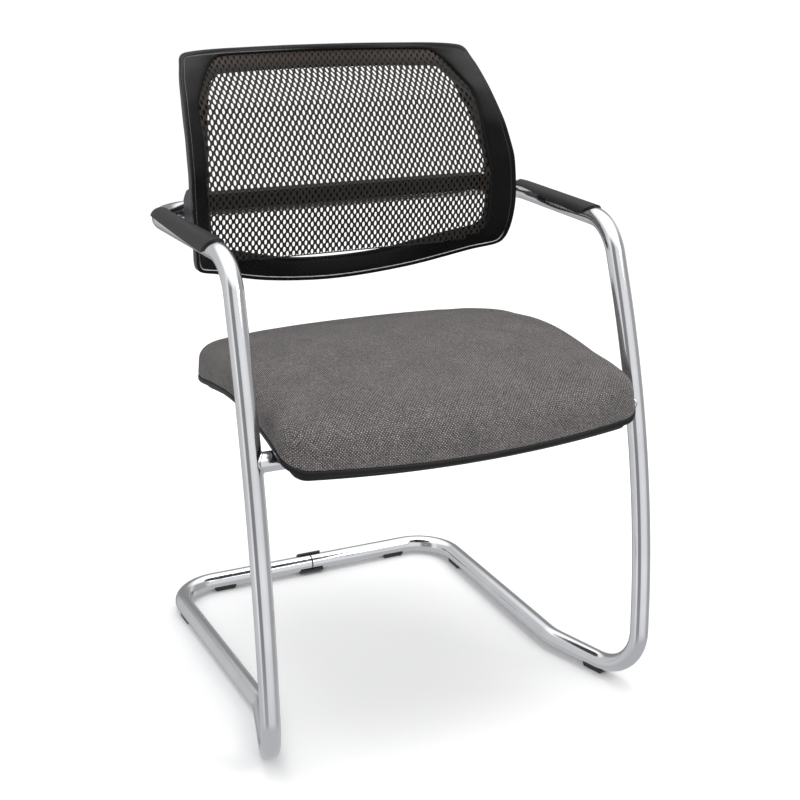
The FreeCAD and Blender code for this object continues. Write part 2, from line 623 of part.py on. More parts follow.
# ------------------------------------------------------------------ arm pads
# a half shell over the arm: its skirts deepen to the front, its front end is raked
ring_len = 226.0
pad_base = along(P[5], P[6], 30.0)
pad_outer = cylinder("PadOuter", ref("pad_rad"), "%.1f" % ring_len, tuple(pad_base), tuple(arm_dir))
side_body = new_body("PadSideBody")
side_sk = new_sketch(side_body, "PadSide", "YZ_Plane")
closed_lines(side_sk, [(-101.0, 635.2), (-118.0, 657.0), (-118.0, 670.0), (95.0, 670.0), (95.0, 648.6), (79.0, 647.6)])
pad(side_body, side_sk, "700", symmetric=True)
pad_shape = common("PadRaked", pad_outer, side_body)
pad_hollow = cut("PadHollow", pad_shape, rod_right)
pad_line = cylinder("PadLine", ref("tube_dia") + " / 2", "%.1f" % (ring_len + 20),
                    tuple(along(P[5], P[6], 20.0)), tuple(arm_dir))
pad_clear = cut("PadClear", pad_hollow, pad_line)
pad_pegs = [cylinder("PadPeg%d" % i, ref("peg_rad"), "6.5", (at.x, at.y, at.z + 8.0)) for i, at in enumerate(ARM_PEGS)]
pad_right = fuse("ArmPadRight", [pad_clear] + pad_pegs)
node("arm_pad_right", pad_right)
node("arm_pad_left", mirror("ArmPadLeft", pad_right))

# ---------------------------------------------------------------------- back
# The back's face: its middle line leans back, its sides wrap forwards.
YS = 81.2


def table(rows, z):
    if z <= rows[0][0]:
        return rows[0][1]
    for (z0, v0), (z1, v1) in zip(rows, rows[1:]):
        if z <= z1:
            t = (z - z0) / (z1 - z0)
            return v0 + (v1 - v0) * t
    return rows[-1][1]


def smooth_table(rows):
    """A curve through a table of values, smooth over the joints of its rows."""
    def f(z):
        total, weight = 0.0, 0.0
        for k in range(-4, 5):
            w = math.exp(-(k / 2.2) ** 2)
            total += w * table(rows, z + 4.0 * k)
            weight += w
        return total / weight
    return f


middle = smooth_table([(500, 235.5), (524, 236), (563, 238), (600, 239), (650, 240), (700, 243), (745, 250),
                       (790, 256), (825, 261), (842, 263), (857, 265), (880, 268)])
wrap = smooth_table([(500, 71), (524, 75), (545, 79), (563, 86), (585, 97), (600, 103), (630, 107), (700, 106.5),
                     (745, 95), (790, 69), (825, 39), (842, 21), (857, 10), (880, 0)])


def face_y(x, z):
    """Front face of the back's frame."""
    return middle(z) - wrap(z) * (x / 240.0) ** 2 - YS


def sheet_face(func, xs, zs):
    grid = [[Vector(x, func(x, z), z) for z in zs] for x in xs]
    surf = Part.BSplineSurface()
    surf.interpolate(grid)
    return surf.toShape()


XS = [-256 + 32 * i for i in range(17)]
ZS = [505 + 15.2 * i for i in range(25)]
back_face = sheet_face(face_y, XS, ZS)
BZ = dim("bezel_thick")
bezel_slab = plain("BezelSlab", back_face.extrude(Vector(0, BZ, 0)))
# depth from the bezel's face to the rear frame's back: deep beside the sitter, thin at the top rail
back_depth = smooth_table([(500, 18.0), (790, 18.0), (815, 13.5), (840, 8.5), (880, 7.5)])
behind_face = back_face.copy()
behind_face.translate(Vector(0, BZ, 0))
behind_slab = plain("BehindSlab", behind_face.extrude(Vector(0, 30, 0)))
rear_face = sheet_face(lambda x, z: face_y(x, z) + back_depth(z), [-252 + 31.5 * i for i in range(17)],
                       [509 + 14.8 * i for i in range(25)])
rear_face.translate(Vector(0, -80, 0))
front_space = plain("FrontSpace", rear_face.extrude(Vector(0, 80, 0)))
rear_slab = common("RearSlab", behind_slab, front_space)
far_face = back_face.copy()
far_face.translate(Vector(0, -70, 0))
bezel_space = plain("BezelSpace", far_face.extrude(Vector(0, 70 + BZ, 0)))

OUTER = [(0, 852.8), (60, 852.6), (120, 851.7), (160, 850.9), (186, 849.6), (200, 848.3), (209, 846.2), (214.4, 841.6),
         (217.2, 834.0), (220.2, 825), (226.8, 795), (231.8, 765), (235.7, 735), (238.6, 705), (240.1, 675),
         (240.2, 645), (238.6, 615), (236.0, 592), (233.6, 580), (228.5, 571.0), (220, 566.2), (200, 560.0),
         (180, 553.2), (150, 543.6), (120, 535.8), (90, 530.2), (60, 526.2), (30, 523.6), (0, 522.7)]
BEZEL_IN = [(0, 843.4), (60, 843.3), (115, 842.6), (150, 841.6), (162, 839.4), (172, 832.0), (183, 819), (193, 804),
            (201.5, 790), (205.5, 775), (207, 745), (207.5, 715), (208.4, 700), (210, 685), (210.6, 665), (210.2, 640),
            (209.6, 615), (207.5, 602), (202, 593.5), (190, 588.5), (170, 584.5), (150, 580.5), (120, 571.5), (90, 563.5),
            (60, 558.3), (30, 555.6), (0, 554.8)]
REAR_IN = [(0, 820.8), (60, 820.6), (115, 820.0), (150, 819.2), (168, 816.5), (177, 809.0), (184, 795), (188.5, 780),
           (192.0, 770), (195.8, 755), (198.9, 740), (201.6, 725), (203.8, 710), (205.4, 695), (206.4, 680), (207.0, 660),
           (206.8, 635), (205.8, 617), (203.2, 606), (196, 597.5), (183, 592), (165, 586.5), (150, 581.5), (120, 572.5),
           (90, 564.5), (60, 559.3), (30, 556.6), (0, 555.8)]


def outline_wire(name, half, y):
    """A closed smooth outline from its right half, top middle to bottom middle."""
    pts = [Vector(x, y, z) for x, z in half] + [Vector(-x, y, z) for x, z in reversed(half[1:-1])]
    c = Part.BSplineCurve()
    c.interpolate(pts, PeriodicFlag=True)
    return plain(name, Part.Wire([c.toShape()]))


def prism(name, half, y0, length):
    wire = outline_wire(name + "Line", half, y0)
    obj = doc.addObject("Part::Extrusion", name)
    obj.Base = wire
    obj.DirMode = "Custom"
    obj.Dir = Vector(0, 1, 0)
    obj.LengthFwd = length
    obj.Solid = True
    return obj


outer_prism = prism("BackOutline", OUTER, -100, 400)
bezel_window = prism("BezelWindow", BEZEL_IN, -110, 420)
rear_window = prism("RearWindow", REAR_IN, -110, 420)

# back bolts: from behind the tube, through it and a spacer, into a lug of the rear frame
BOLT_X = dim("back_bolt_x")
back_bolts, back_shanks = [], []
for side in (-1, 1):
    tag = "L" if side < 0 else "R"
    shank = cylinder("BackShank" + tag, ref("back_bolt_rad"), "66", (side * BOLT_X, 86.0, ARM_Z), (0, 1, 0))
    head = cylinder("BackHead" + tag, ref("back_head_rad"), "9", (side * BOLT_X, 148.0, ARM_Z), (0, 1, 0))
    seat = cut("BackHeadSeat" + tag, head, rod_right if side > 0 else rod_left)
    back_bolts.append(fuse("BackBolt" + tag, [shank, seat]))
    back_shanks.append(shank)
    raw = cylinder("SpacerRaw" + tag, ref("spacer_rad"), "30", (side * BOLT_X, dim("lug_rear_y"), ARM_Z), (0, 1, 0))
    tools = group("SpacerCuts" + tag, [rod_right if side > 0 else rod_left, shank])
    node("back_spacer_" + ("left" if side < 0 else "right"), cut("BackSpacer" + tag, raw, tools))
node("back_bolts", group("BackBolts", back_bolts))
shank_set = group("BackShanks", back_shanks)

# bezel screws, from the rear frame's back face
BEZEL_SCREWS = [(226, 700), (226, 760), (205, 832), (100, 847.4), (225, 606), (180, 566), (80, 545)]
small, small_tools = [], []
for side in (-1, 1):
    for j, (sx, sz) in enumerate(BEZEL_SCREWS):
        tag = "%s%d" % ("L" if side < 0 else "R", j)
        y0 = face_y(sx, sz) + 2.0
        y1 = face_y(sx, sz) + back_depth(sz) - 2.0
        shank = cylinder("SmallShank" + tag, ref("small_screw_rad"), "%.3f" % (y1 - y0 + 0.5), (side * sx, y0, sz), (0, 1, 0))
        head = cylinder("SmallHead" + tag, ref("small_head_rad"), "2", (side * sx, y1, sz), (0, 1, 0))
        space = cylinder("SmallSpace" + tag, ref("small_head_rad"), "12", (side * sx, y1, sz), (0, 1, 0))
        small.append(fuse("SmallScrew" + tag, [shank, head]))
        small_tools.extend([shank, space])
node("bezel_screws", group("BezelScrews", small))
small_set = group("SmallSpaces", small_tools)

bezel_plate = common("BezelPlate", outer_prism, bezel_slab)
bezel_ring = cut("BezelRing", bezel_plate, bezel_window)
node("back_bezel", cut("BackBezel", bezel_ring, small_set))

rear_plate = common("RearPlate", outer_prism, rear_slab)
rear_ring = cut("RearRing", rear_plate, rear_window)
lugs = []
for side in (-1, 1):
    tag = "L" if side < 0 else "R"
    x0 = dim("lug_in_x") if side > 0 else -dim("lug_in_x") - dim("lug_wide")
    LR = dim("lug_rear_y")
    line = plain("LugLine" + tag, Part.makePolygon([Vector(x0, y, z) for y, z in (
        (55, 628), (LR, 628), (LR, 668), (84, 680), (55, 680), (55, 628))]))
    lug = doc.addObject("Part::Extrusion", "LugRaw" + tag)
    lug.Base = line
    lug.DirMode = "Custom"
    lug.Dir = Vector(1, 0, 0)
    lug.Solid = True
    bind(lug, LengthFwd=ref("lug_wide"))
    lugs.append(cut("Lug" + tag, lug, bezel_space))
rear_body = fuse("RearBody", [rear_ring] + lugs)
node("back_rear_frame", cut("BackRearFrame", rear_body, group("RearCuts", [small_set, shank_set])))

# carrier: a straight bar that hooks over the tube, with a screw down into it near each end
bar = box("CarrierBar", "2 * " + ref("bar_half"), ref("bar_rear_y") + " - " + ref("bar_front_y"), ref("bar_high"),
          (-dim("bar_half"), dim("bar_front_y"), dim("bar_low")))
bar_top = dim("bar_low") + dim("bar_high")
bar_screws, bar_cuts = [], []
for side in (-1, 1):
    tag = "L" if side < 0 else "R"
    shank = cylinder("BarShank" + tag, ref("bar_screw_rad"), "%.2f" % (bar_top - 3.0 - 648.0), (side * 120.0, 134.0, 648.0))
    head = cylinder("BarHead" + tag, ref("bar_head_rad"), "2.4", (side * 120.0, 134.0, bar_top - 3.0))
    space = cylinder("BarHeadSpace" + tag, ref("bar_head_rad"), "4", (side * 120.0, 134.0, bar_top - 3.0))
    bar_screws.append(fuse("BarScrew" + tag, [shank, head]))
    bar_cuts.extend([shank, space])
node("carrier_screws", group("CarrierScrews", bar_screws))
node("back_carrier", cut("BackCarrier", bar, group("CarrierCuts", [rod_right, rod_left] + bar_cuts)))

# mesh: three flat runs, each straight across from side to side, bowed with the top rail
# near the top, and lying on the rear frame's flange at its edges
mesh_line = smooth_table([(500, 172.4), (577.5, 166.2), (673, 158.6), (781, 203.1), (818, 247.9), (880, 322.9)])


def mesh_y(x, z):
    flat = mesh_line(z) - YS
    follow = face_y(x, z) + BZ - dim("mesh_thick") - 0.2
    t = max(0.0, min(1.0, (z - 800.0) / 28.0))
    t = t * t * (3 - 2 * t)
    y = flat + t * (follow - flat)
    return min(y, follow)


mesh_face = sheet_face(mesh_y, [-224 + 8 * i for i in range(57)], [561 + 6.8 * i for i in range(45)])
mesh_slab = plain("MeshSlab", mesh_face.extrude(Vector(0, dim("mesh_thick"), 0)))
MESH_OUT = [(x * 0.9985, 700 + (z - 700) * 0.998) for x, z in BEZEL_IN]
mesh_prism = prism("MeshPrism", MESH_OUT, -110, 300)
mesh_trim = box("MeshTrim", "440", "300", "300", (-220, -110, dim("mesh_low")))
mesh_plate = common("MeshPlate", mesh_prism, mesh_slab)
node("back_mesh", common("BackMesh", mesh_plate, mesh_trim))

# ------------------------------------------------------------ check and write
doc.recompute()
bad = [o.Name for o in doc.Objects if "Invalid" in o.State or "Error" in o.State]
if bad:
    raise RuntimeError("failed features: " + ", ".join(bad))
lo, hi = [1e9] * 3, [-1e9] * 3
for label, obj in NODES:
    shape = obj.Shape
    if shape.isNull() or not shape.isValid() or not shape.Solids:
        raise RuntimeError("bad shape: " + label)
    b = shape.BoundBox
    for k, (a, c) in enumerate(((b.XMin, b.XMax), (b.YMin, b.YMax), (b.ZMin, b.ZMax))):
        lo[k], hi[k] = min(lo[k], a), max(hi[k], c)
    print("%-20s solids %2d  volume %10.1f  box %s" % (label, len(shape.Solids), shape.Volume, (
        "%.1f %.1f %.1f / %.1f %.1f %.1f" % (b.XMin, b.YMin, b.ZMin, b.XMax, b.YMax, b.ZMax))))
print("nodes", len(NODES), "box", ["%.2f" % v for v in lo], ["%.2f" % v for v in hi])
for label, obj in NODES:
    obj.Shape.exportStep("parts/%s.step" % label)
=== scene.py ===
import math

import bmesh
import bpy
import numpy as np
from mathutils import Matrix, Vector


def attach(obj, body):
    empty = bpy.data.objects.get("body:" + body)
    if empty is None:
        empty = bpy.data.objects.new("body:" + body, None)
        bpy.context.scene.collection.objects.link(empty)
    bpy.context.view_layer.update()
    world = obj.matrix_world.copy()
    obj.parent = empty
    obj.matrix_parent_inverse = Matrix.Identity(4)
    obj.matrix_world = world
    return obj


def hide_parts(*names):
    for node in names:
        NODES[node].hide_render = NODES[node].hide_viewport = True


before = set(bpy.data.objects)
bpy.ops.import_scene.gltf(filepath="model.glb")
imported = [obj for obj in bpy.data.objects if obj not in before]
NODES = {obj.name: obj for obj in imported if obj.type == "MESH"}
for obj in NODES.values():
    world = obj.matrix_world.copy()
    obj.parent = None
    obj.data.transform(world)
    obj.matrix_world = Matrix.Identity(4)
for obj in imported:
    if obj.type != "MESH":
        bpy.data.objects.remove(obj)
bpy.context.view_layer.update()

# Sled base visitor chair: looks. Lengths in this file are millimetres until make() writes them in metres.

COLL = bpy.context.scene.collection


# ------------------------------------------------------------------ materials
def material(name):
    m = bpy.data.materials.new(name)
    m.use_nodes = True
    nt = m.node_tree
    return m, nt, nt.nodes["Principled BSDF"]


def link(nt, a, b):
    nt.links.new(a, b)


def object_coords(nt):
    return nt.nodes.new("ShaderNodeTexCoord").outputs["Object"]


def noise(nt, vec, scale, detail=3.0, rough=0.55):
    n = nt.nodes.new("ShaderNodeTexNoise")
    n.inputs["Scale"].default_value = scale
    n.inputs["Detail"].default_value = detail
    n.inputs["Roughness"].default_value = rough
    link(nt, vec, n.inputs["Vector"])
    return n.outputs["Fac"]


def voronoi(nt, vec, scale, out="Distance", feature="F1"):
    n = nt.nodes.new("ShaderNodeTexVoronoi")
    n.feature = feature
    n.inputs["Scale"].default_value = scale
    link(nt, vec, n.inputs["Vector"])
    return n.outputs[out]


def remap(nt, val, a, b, c, d, clamp=True):
    n = nt.nodes.new("ShaderNodeMapRange")
    n.clamp = clamp
    for key, v in (("From Min", a), ("From Max", b), ("To Min", c), ("To Max", d)):
        n.inputs[key].default_value = v
    link(nt, val, n.inputs["Value"])
    return n.outputs["Result"]


def ramp(nt, fac, stops, interp="LINEAR"):
    n = nt.nodes.new("ShaderNodeValToRGB")
    n.color_ramp.interpolation = interp
    el = n.color_ramp.elements
    while len(el) > 1:
        el.remove(el[-1])
    el[0].position, el[0].color = stops[0][0], (*stops[0][1], 1.0)
    for p, c in stops[1:]:
        e = el.new(p)
        e.color = (*c, 1.0)
    link(nt, fac, n.inputs["Fac"])
    return n.outputs["Color"]


def calc(nt, op, a, b=None, c=None, clamp=False):
    n = nt.nodes.new("ShaderNodeMath")
    n.operation = op
    n.use_clamp = clamp
    for i, v in enumerate((a, b, c)):
        if v is None:
            continue
        if isinstance(v, (int, float)):
            n.inputs[i].default_value = v
        else:
            link(nt, v, n.inputs[i])
    return n.outputs[0]


def mix_rgb(nt, fac, a, b, blend="MIX"):
    n = nt.nodes.new("ShaderNodeMix")
    n.data_type = "RGBA"
    n.blend_type = blend
    if isinstance(fac, (int, float)):
        n.inputs[0].default_value = fac
    else:
        link(nt, fac, n.inputs[0])
    for i, v in ((6, a), (7, b)):
        if isinstance(v, tuple):
            n.inputs[i].default_value = (*v, 1.0)
        else:
            link(nt, v, n.inputs[i])
    return n.outputs[2]


def bump(nt, height, strength, distance, normal=None):
    n = nt.nodes.new("ShaderNodeBump")
    n.inputs["Strength"].default_value = strength
    n.inputs["Distance"].default_value = distance
    link(nt, height, n.inputs["Height"])
    if normal is not None:
        link(nt, normal, n.inputs["Normal"])
    return n.outputs["Normal"]


def chrome(name, tint=(0.80, 0.81, 0.83), rough=(0.085, 0.17)):
    m, nt, b = material(name)
    co = object_coords(nt)
    broad = noise(nt, co, 9.0, 2.0)
    fine = noise(nt, co, 260.0, 4.0)
    b.inputs["Metallic"].default_value = 1.0
    dull = tuple(0.90 * c for c in tint)
    link(nt, mix_rgb(nt, remap(nt, broad, 0.35, 0.7, 0.0, 1.0), tint, dull), b.inputs["Base Color"])
    both = calc(nt, "MULTIPLY_ADD", fine, 0.35, calc(nt, "MULTIPLY", broad, 0.65))
    link(nt, remap(nt, both, 0.3, 0.7, rough[0], rough[1]), b.inputs["Roughness"])
    link(nt, bump(nt, noise(nt, co, 900.0, 2.0), 0.05, 0.0002), b.inputs["Normal"])
    return m


def moulded(name, base, rough=(0.34, 0.46), grain=1400.0, depth=0.12, edge=None, spec=0.5):
    """Moulded plastic: fine spark-eroded grain, faint lighter flow marks and scattered lighter specks."""
    m, nt, b = material(name)
    co = object_coords(nt)
    cells = voronoi(nt, co, grain)
    flow = noise(nt, co, 14.0, 4.0)
    specks = noise(nt, co, 420.0, 3.0)
    lighter = tuple(min(1.0, c * 1.45 + 0.004) for c in base)
    col = mix_rgb(nt, remap(nt, flow, 0.35, 0.75, 0.0, 0.7), base, lighter)
    col = mix_rgb(nt, remap(nt, specks, 0.55, 0.8, 0.0, 0.35), col, tuple(c * 1.9 + 0.004 for c in base))
    link(nt, col, b.inputs["Base Color"])
    b.inputs["Specular IOR Level"].default_value = spec
    link(nt, remap(nt, calc(nt, "MULTIPLY_ADD", specks, 0.5, calc(nt, "MULTIPLY", flow, 0.5)), 0.35, 0.65, rough[0], rough[1]),
         b.inputs["Roughness"])
    link(nt, bump(nt, calc(nt, "ADD", cells, calc(nt, "MULTIPLY", specks, 0.5)), depth, 0.0003), b.inputs["Normal"])
    return m


def zinc(name):
    m, nt, b = material(name)
    co = object_coords(nt)
    n1 = noise(nt, co, 120.0, 4.0)
    b.inputs["Metallic"].default_value = 1.0
    link(nt, mix_rgb(nt, n1, (0.50, 0.52, 0.55), (0.66, 0.66, 0.64)), b.inputs["Base Color"])
    link(nt, remap(nt, noise(nt, co, 600.0), 0.3, 0.7, 0.26, 0.42), b.inputs["Roughness"])
    link(nt, bump(nt, noise(nt, co, 1500.0), 0.08, 0.0002), b.inputs["Normal"])
    return m


def plywood(name):
    m, nt, b = material(name)
    co = object_coords(nt)
    mapping = nt.nodes.new("ShaderNodeMapping")
    mapping.inputs["Scale"].default_value = (6.0, 60.0, 60.0)
    link(nt, co, mapping.inputs["Vector"])
    grain = noise(nt, mapping.outputs["Vector"], 3.0, 6.0, 0.6)
    link(nt, mix_rgb(nt, remap(nt, grain, 0.35, 0.65, 0.0, 1.0), (0.36, 0.22, 0.11), (0.62, 0.44, 0.26)), b.inputs["Base Color"])
    b.inputs["Roughness"].default_value = 0.7
    link(nt, bump(nt, grain, 0.2, 0.0004), b.inputs["Normal"])
    return m


def weave_field(nt, u, v, pitch):
    """(height, sign) of a plain weave over two coordinates: threads rise alternately."""
    k = 2.0 * math.pi / (2.0 * pitch)
    su = calc(nt, "SINE", calc(nt, "MULTIPLY", u, k))
    sv = calc(nt, "SINE", calc(nt, "MULTIPLY", v, k))
    return calc(nt, "MULTIPLY", su, sv)


def upholstery(name):
    """Coarse melange weave: two yarns, warm dark grey and light grey, with stray brown and black fibres."""
    m, nt, b = material(name)
    co = object_coords(nt)
    sep = nt.nodes.new("ShaderNodeSeparateXYZ")
    # the yarn runs a little unevenly
    wob = nt.nodes.new("ShaderNodeTexNoise")
    wob.inputs["Scale"].default_value = 130.0
    wob.inputs["Detail"].default_value = 2.0
    link(nt, co, wob.inputs["Vector"])
    off = nt.nodes.new("ShaderNodeVectorMath")
    off.operation = "SUBTRACT"
    link(nt, wob.outputs["Color"], off.inputs[0])
    off.inputs[1].default_value = (0.5, 0.5, 0.5)
    sc = nt.nodes.new("ShaderNodeVectorMath")
    sc.operation = "SCALE"
    sc.inputs["Scale"].default_value = 0.0018
    link(nt, off.outputs[0], sc.inputs[0])
    add = nt.nodes.new("ShaderNodeVectorMath")
    add.operation = "ADD"
    link(nt, co, add.inputs[0])
    link(nt, sc.outputs[0], add.inputs[1])
    link(nt, add.outputs[0], sep.inputs[0])
    x, y, z = sep.outputs
    geo = nt.nodes.new("ShaderNodeNewGeometry")
    ns = nt.nodes.new("ShaderNodeSeparateXYZ")
    link(nt, geo.outputs["Normal"], ns.inputs[0])
    wx = calc(nt, "POWER", calc(nt, "ABSOLUTE", ns.outputs[0]), 6.0)
    wy = calc(nt, "POWER", calc(nt, "ABSOLUTE", ns.outputs[1]), 6.0)
    wz = calc(nt, "POWER", calc(nt, "ABSOLUTE", ns.outputs[2]), 6.0)
    total = calc(nt, "ADD", calc(nt, "ADD", wx, wy), wz)
    pitch = 0.00195
    top = weave_field(nt, x, y, pitch)
    front = weave_field(nt, x, z, pitch)
    side = weave_field(nt, y, z, pitch)
    mixed = calc(nt, "MULTIPLY", top, wz)
    mixed = calc(nt, "MULTIPLY_ADD", front, wy, mixed)
    mixed = calc(nt, "MULTIPLY_ADD", side, wx, mixed)
    field = calc(nt, "DIVIDE", mixed, total)
    height = calc(nt, "MULTIPLY", calc(nt, "POWER", calc(nt, "ABSOLUTE", top), 0.55), wz)
    height = calc(nt, "MULTIPLY_ADD", calc(nt, "POWER", calc(nt, "ABSOLUTE", front), 0.55), wy, height)
    height = calc(nt, "MULTIPLY_ADD", calc(nt, "POWER", calc(nt, "ABSOLUTE", side), 0.55), wx, height)
    height = calc(nt, "DIVIDE", height, total)
    over = remap(nt, field, -0.12, 0.12, 0.0, 1.0)
    # fibres and melange
    fibre = noise(nt, co, 620.0, 4.0, 0.65)
    slub = noise(nt, co, 240.0, 3.0, 0.6)
    patch = noise(nt, co, 26.0, 3.0, 0.55)
    warp = ramp(nt, slub, [(0.32, (0.034, 0.028, 0.025)), (0.47, (0.088, 0.076, 0.071)), (0.60, (0.140, 0.124, 0.118)),
                           (0.74, (0.26, 0.24, 0.235))])
    weft = ramp(nt, fibre, [(0.30, (0.070, 0.061, 0.058)), (0.46, (0.185, 0.170, 0.165)), (0.58, (0.31, 0.29, 0.28)),
                            (0.72, (0.50, 0.475, 0.465))])
    yarn = mix_rgb(nt, over, warp, weft)
    # painted shade: the weave's hollows are darkened towards near black by bump height
    weave_hollow_shade = mix_rgb(nt, remap(nt, height, 0.20, 0.80, 0.0, 1.0), (0.022, 0.019, 0.018), yarn)
    tone = mix_rgb(nt, remap(nt, patch, 0.3, 0.7, 0.0, 1.0), (0.96, 0.98, 1.01), (1.22, 1.22, 1.24))
    col = mix_rgb(nt, 1.0, weave_hollow_shade, tone, "MULTIPLY")
    link(nt, col, b.inputs["Base Color"])
    link(nt, remap(nt, fibre, 0.3, 0.7, 0.82, 0.96), b.inputs["Roughness"])
    b.inputs["Specular IOR Level"].default_value = 0.25
    b.inputs["Sheen Weight"].default_value = 0.08
    b.inputs["Sheen Roughness"].default_value = 0.5
    hh = calc(nt, "MULTIPLY_ADD", fibre, 0.45, height)
    link(nt, bump(nt, hh, 0.9, 0.0010), b.inputs["Normal"])
    return m


def mesh_yarn(name):
    m, nt, b = material(name)
    co = object_coords(nt)
    sep = nt.nodes.new("ShaderNodeSeparateXYZ")
    link(nt, co, sep.inputs[0])
    x, y, z = sep.outputs
    knit = weave_field(nt, x, z, 0.00075)
    fibre = noise(nt, co, 900.0, 4.0, 0.6)
    tone = noise(nt, co, 60.0, 3.0)
    col = ramp(nt, fibre, [(0.30, (0.006, 0.0048, 0.004)), (0.50, (0.017, 0.0138, 0.0112)), (0.75, (0.040, 0.032, 0.026))])
    col = mix_rgb(nt, remap(nt, tone, 0.3, 0.7, 0.0, 0.35), col, (0.028, 0.023, 0.019))
    # browner in its top hem, under the frame's upper edge
    col = mix_rgb(nt, remap(nt, z, 0.822, 0.834, 0.0, 0.75), col, (0.062, 0.047, 0.040))
    link(nt, col, b.inputs["Base Color"])
    link(nt, remap(nt, fibre, 0.3, 0.7, 0.55, 0.75), b.inputs["Roughness"])
    b.inputs["Specular IOR Level"].default_value = 0.2
    b.inputs["Sheen Weight"].default_value = 0.05
    b.inputs["Sheen Roughness"].default_value = 0.4
    hh = calc(nt, "MULTIPLY_ADD", fibre, 0.5, calc(nt, "ABSOLUTE", knit))
    link(nt, bump(nt, hh, 0.5, 0.0003), b.inputs["Normal"])
    return m


def crease_painted_highlight(name):
    """The bezel's inner crease: a painted highlight in its base colour, bright along the bottom and less along one side
    and at the top, broken up by noise.
    """
    m, nt, b = material(name)
    co = object_coords(nt)
    sep = nt.nodes.new("ShaderNodeSeparateXYZ")
    link(nt, co, sep.inputs[0])
    x, y, z = sep.outputs
    # painted highlight strength: full along the bottom, weaker on the left side and at the top-left
    bottom = remap(nt, z, 0.590, 0.572, 0.0, 1.0)
    side = calc(nt, "MULTIPLY", remap(nt, x, -0.150, -0.190, 0.0, 0.17), remap(nt, z, 0.56, 0.60, 0.0, 1.0))
    crown = calc(nt, "MULTIPLY", remap(nt, x, -0.020, -0.060, 0.0, 0.22), remap(nt, z, 0.835, 0.842, 0.0, 1.0))
    highlight_amount = calc(nt, "MAXIMUM", bottom, calc(nt, "MAXIMUM", side, crown))
    # noise breaks up the painted highlight
    highlight_breakup = noise(nt, co, 70.0, 3.0)
    highlight_amount = calc(nt, "MULTIPLY", highlight_amount, remap(nt, highlight_breakup, 0.3, 0.7, 0.75, 1.0))
    link(nt, mix_rgb(nt, highlight_amount, (0.006, 0.006, 0.0065), (0.80, 0.80, 0.81)), b.inputs["Base Color"])
    link(nt, remap(nt, noise(nt, co, 420.0), 0.3, 0.7, 0.22, 0.32), b.inputs["Roughness"])
    link(nt, bump(nt, voronoi(nt, co, 1400.0), 0.04, 0.0003), b.inputs["Normal"])
    return m


def floor_material(name):
    m, nt, b = material(name)
    co = object_coords(nt)
    n = noise(nt, co, 3.0, 3.0)
    link(nt, mix_rgb(nt, n, (0.955, 0.955, 0.955), (0.965, 0.965, 0.965)), b.inputs["Base Color"])
    b.inputs["Roughness"].default_value = 0.9
    b.inputs["Specular IOR Level"].default_value = 0.1
    return m


CHROME = chrome("chrome_plate")
BLACK = moulded("black_moulding", (0.0042, 0.0042, 0.0046), rough=(0.22, 0.30), depth=0.04, spec=0.16)
LIP = moulded("shell_moulding", (0.0045, 0.0045, 0.005), rough=(0.34, 0.46), depth=0.10, spec=0.22)
# painted light: this lighter grey stands in for the light that the rear frame's side wall catches from the left; the
# lugs share it
GREY = moulded("rear_grey_painted_light", (0.050, 0.050, 0.053), rough=(0.42, 0.55), depth=0.12, spec=0.35)
PAD = moulded("pad_moulding", (0.0125, 0.0125, 0.0135), rough=(0.40, 0.50), grain=1100.0, depth=0.15, spec=0.35)
RUBBER = moulded("glide_moulding", (0.014, 0.014, 0.015), rough=(0.48, 0.60), depth=0.15)
ZINC = zinc("zinc_plate")
WOOD = plywood("ply_board")
FABRIC = upholstery("melange_weave")
YARN = mesh_yarn("knitted_mesh")
CREASE_HIGHLIGHT = crease_painted_highlight("bezel_crease_painted_highlight")


# -------------------------------------------------------------------- meshes
def make(name, verts, faces, mat, angle=35.0):
    me = bpy.data.meshes.new(name)
    me.from_pydata([(float(v[0]) * 0.001, float(v[1]) * 0.001, float(v[2]) * 0.001) for v in verts], [],
                   [tuple(int(i) for i in f) for f in faces])
    bm = bmesh.new()
    bm.from_mesh(me)
    bmesh.ops.remove_doubles(bm, verts=bm.verts, dist=1e-6)
    bmesh.ops.recalc_face_normals(bm, faces=bm.faces)
    bm.to_mesh(me)
    bm.free()
    for p in me.polygons:
        p.use_smooth = True
    me.set_sharp_from_angle(angle=math.radians(angle))
    me.materials.append(mat)
    ob = bpy.data.objects.new(name, me)
    COLL.objects.link(ob)
    return ob


def settle(ob, *nodes):
    """The piece rides with the chair and stands for its CAD nodes."""
    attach(ob, "root")
    if nodes:
        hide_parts(*nodes)
    return ob


def bevelled(ob, width, segments=2, angle=40.0):
    m = ob.modifiers.new("edge_round", "BEVEL")
    m.width = width * 0.001
    m.segments = segments
    m.limit_method = "ANGLE"
    m.angle_limit = math.radians(angle)
    m.harden_normals = False
    return ob


class Build:
    """Collects vertices and faces of one piece."""

    def __init__(self):
        self.v, self.f = [], []

    def grid(self, pts, close_u=False, close_v=False):
        """pts: (nu, nv, 3). Returns the index of its first vertex."""
        nu, nv = pts.shape[:2]
        base = len(self.v)
        self.v.extend(pts.reshape(-1, 3))
        for i in range(nu if close_u else nu - 1):
            for j in range(nv if close_v else nv - 1):
                i2, j2 = (i + 1) % nu, (j + 1) % nv
                self.f.append((base + i * nv + j, base + i2 * nv + j, base + i2 * nv + j2, base + i * nv + j2))
        return base

    def cap(self, idx):
        self.f.append(tuple(idx))

    def add(self, other):
        base = len(self.v)
        self.v.extend(other.v)
        self.f.extend([tuple(i + base for i in f) for f in other.f])

    def mirrored(self):
        m = Build()
        m.v = [np.array([-p[0], p[1], p[2]]) for p in self.v]
        m.f = [tuple(reversed(f)) for f in self.f]
        return m


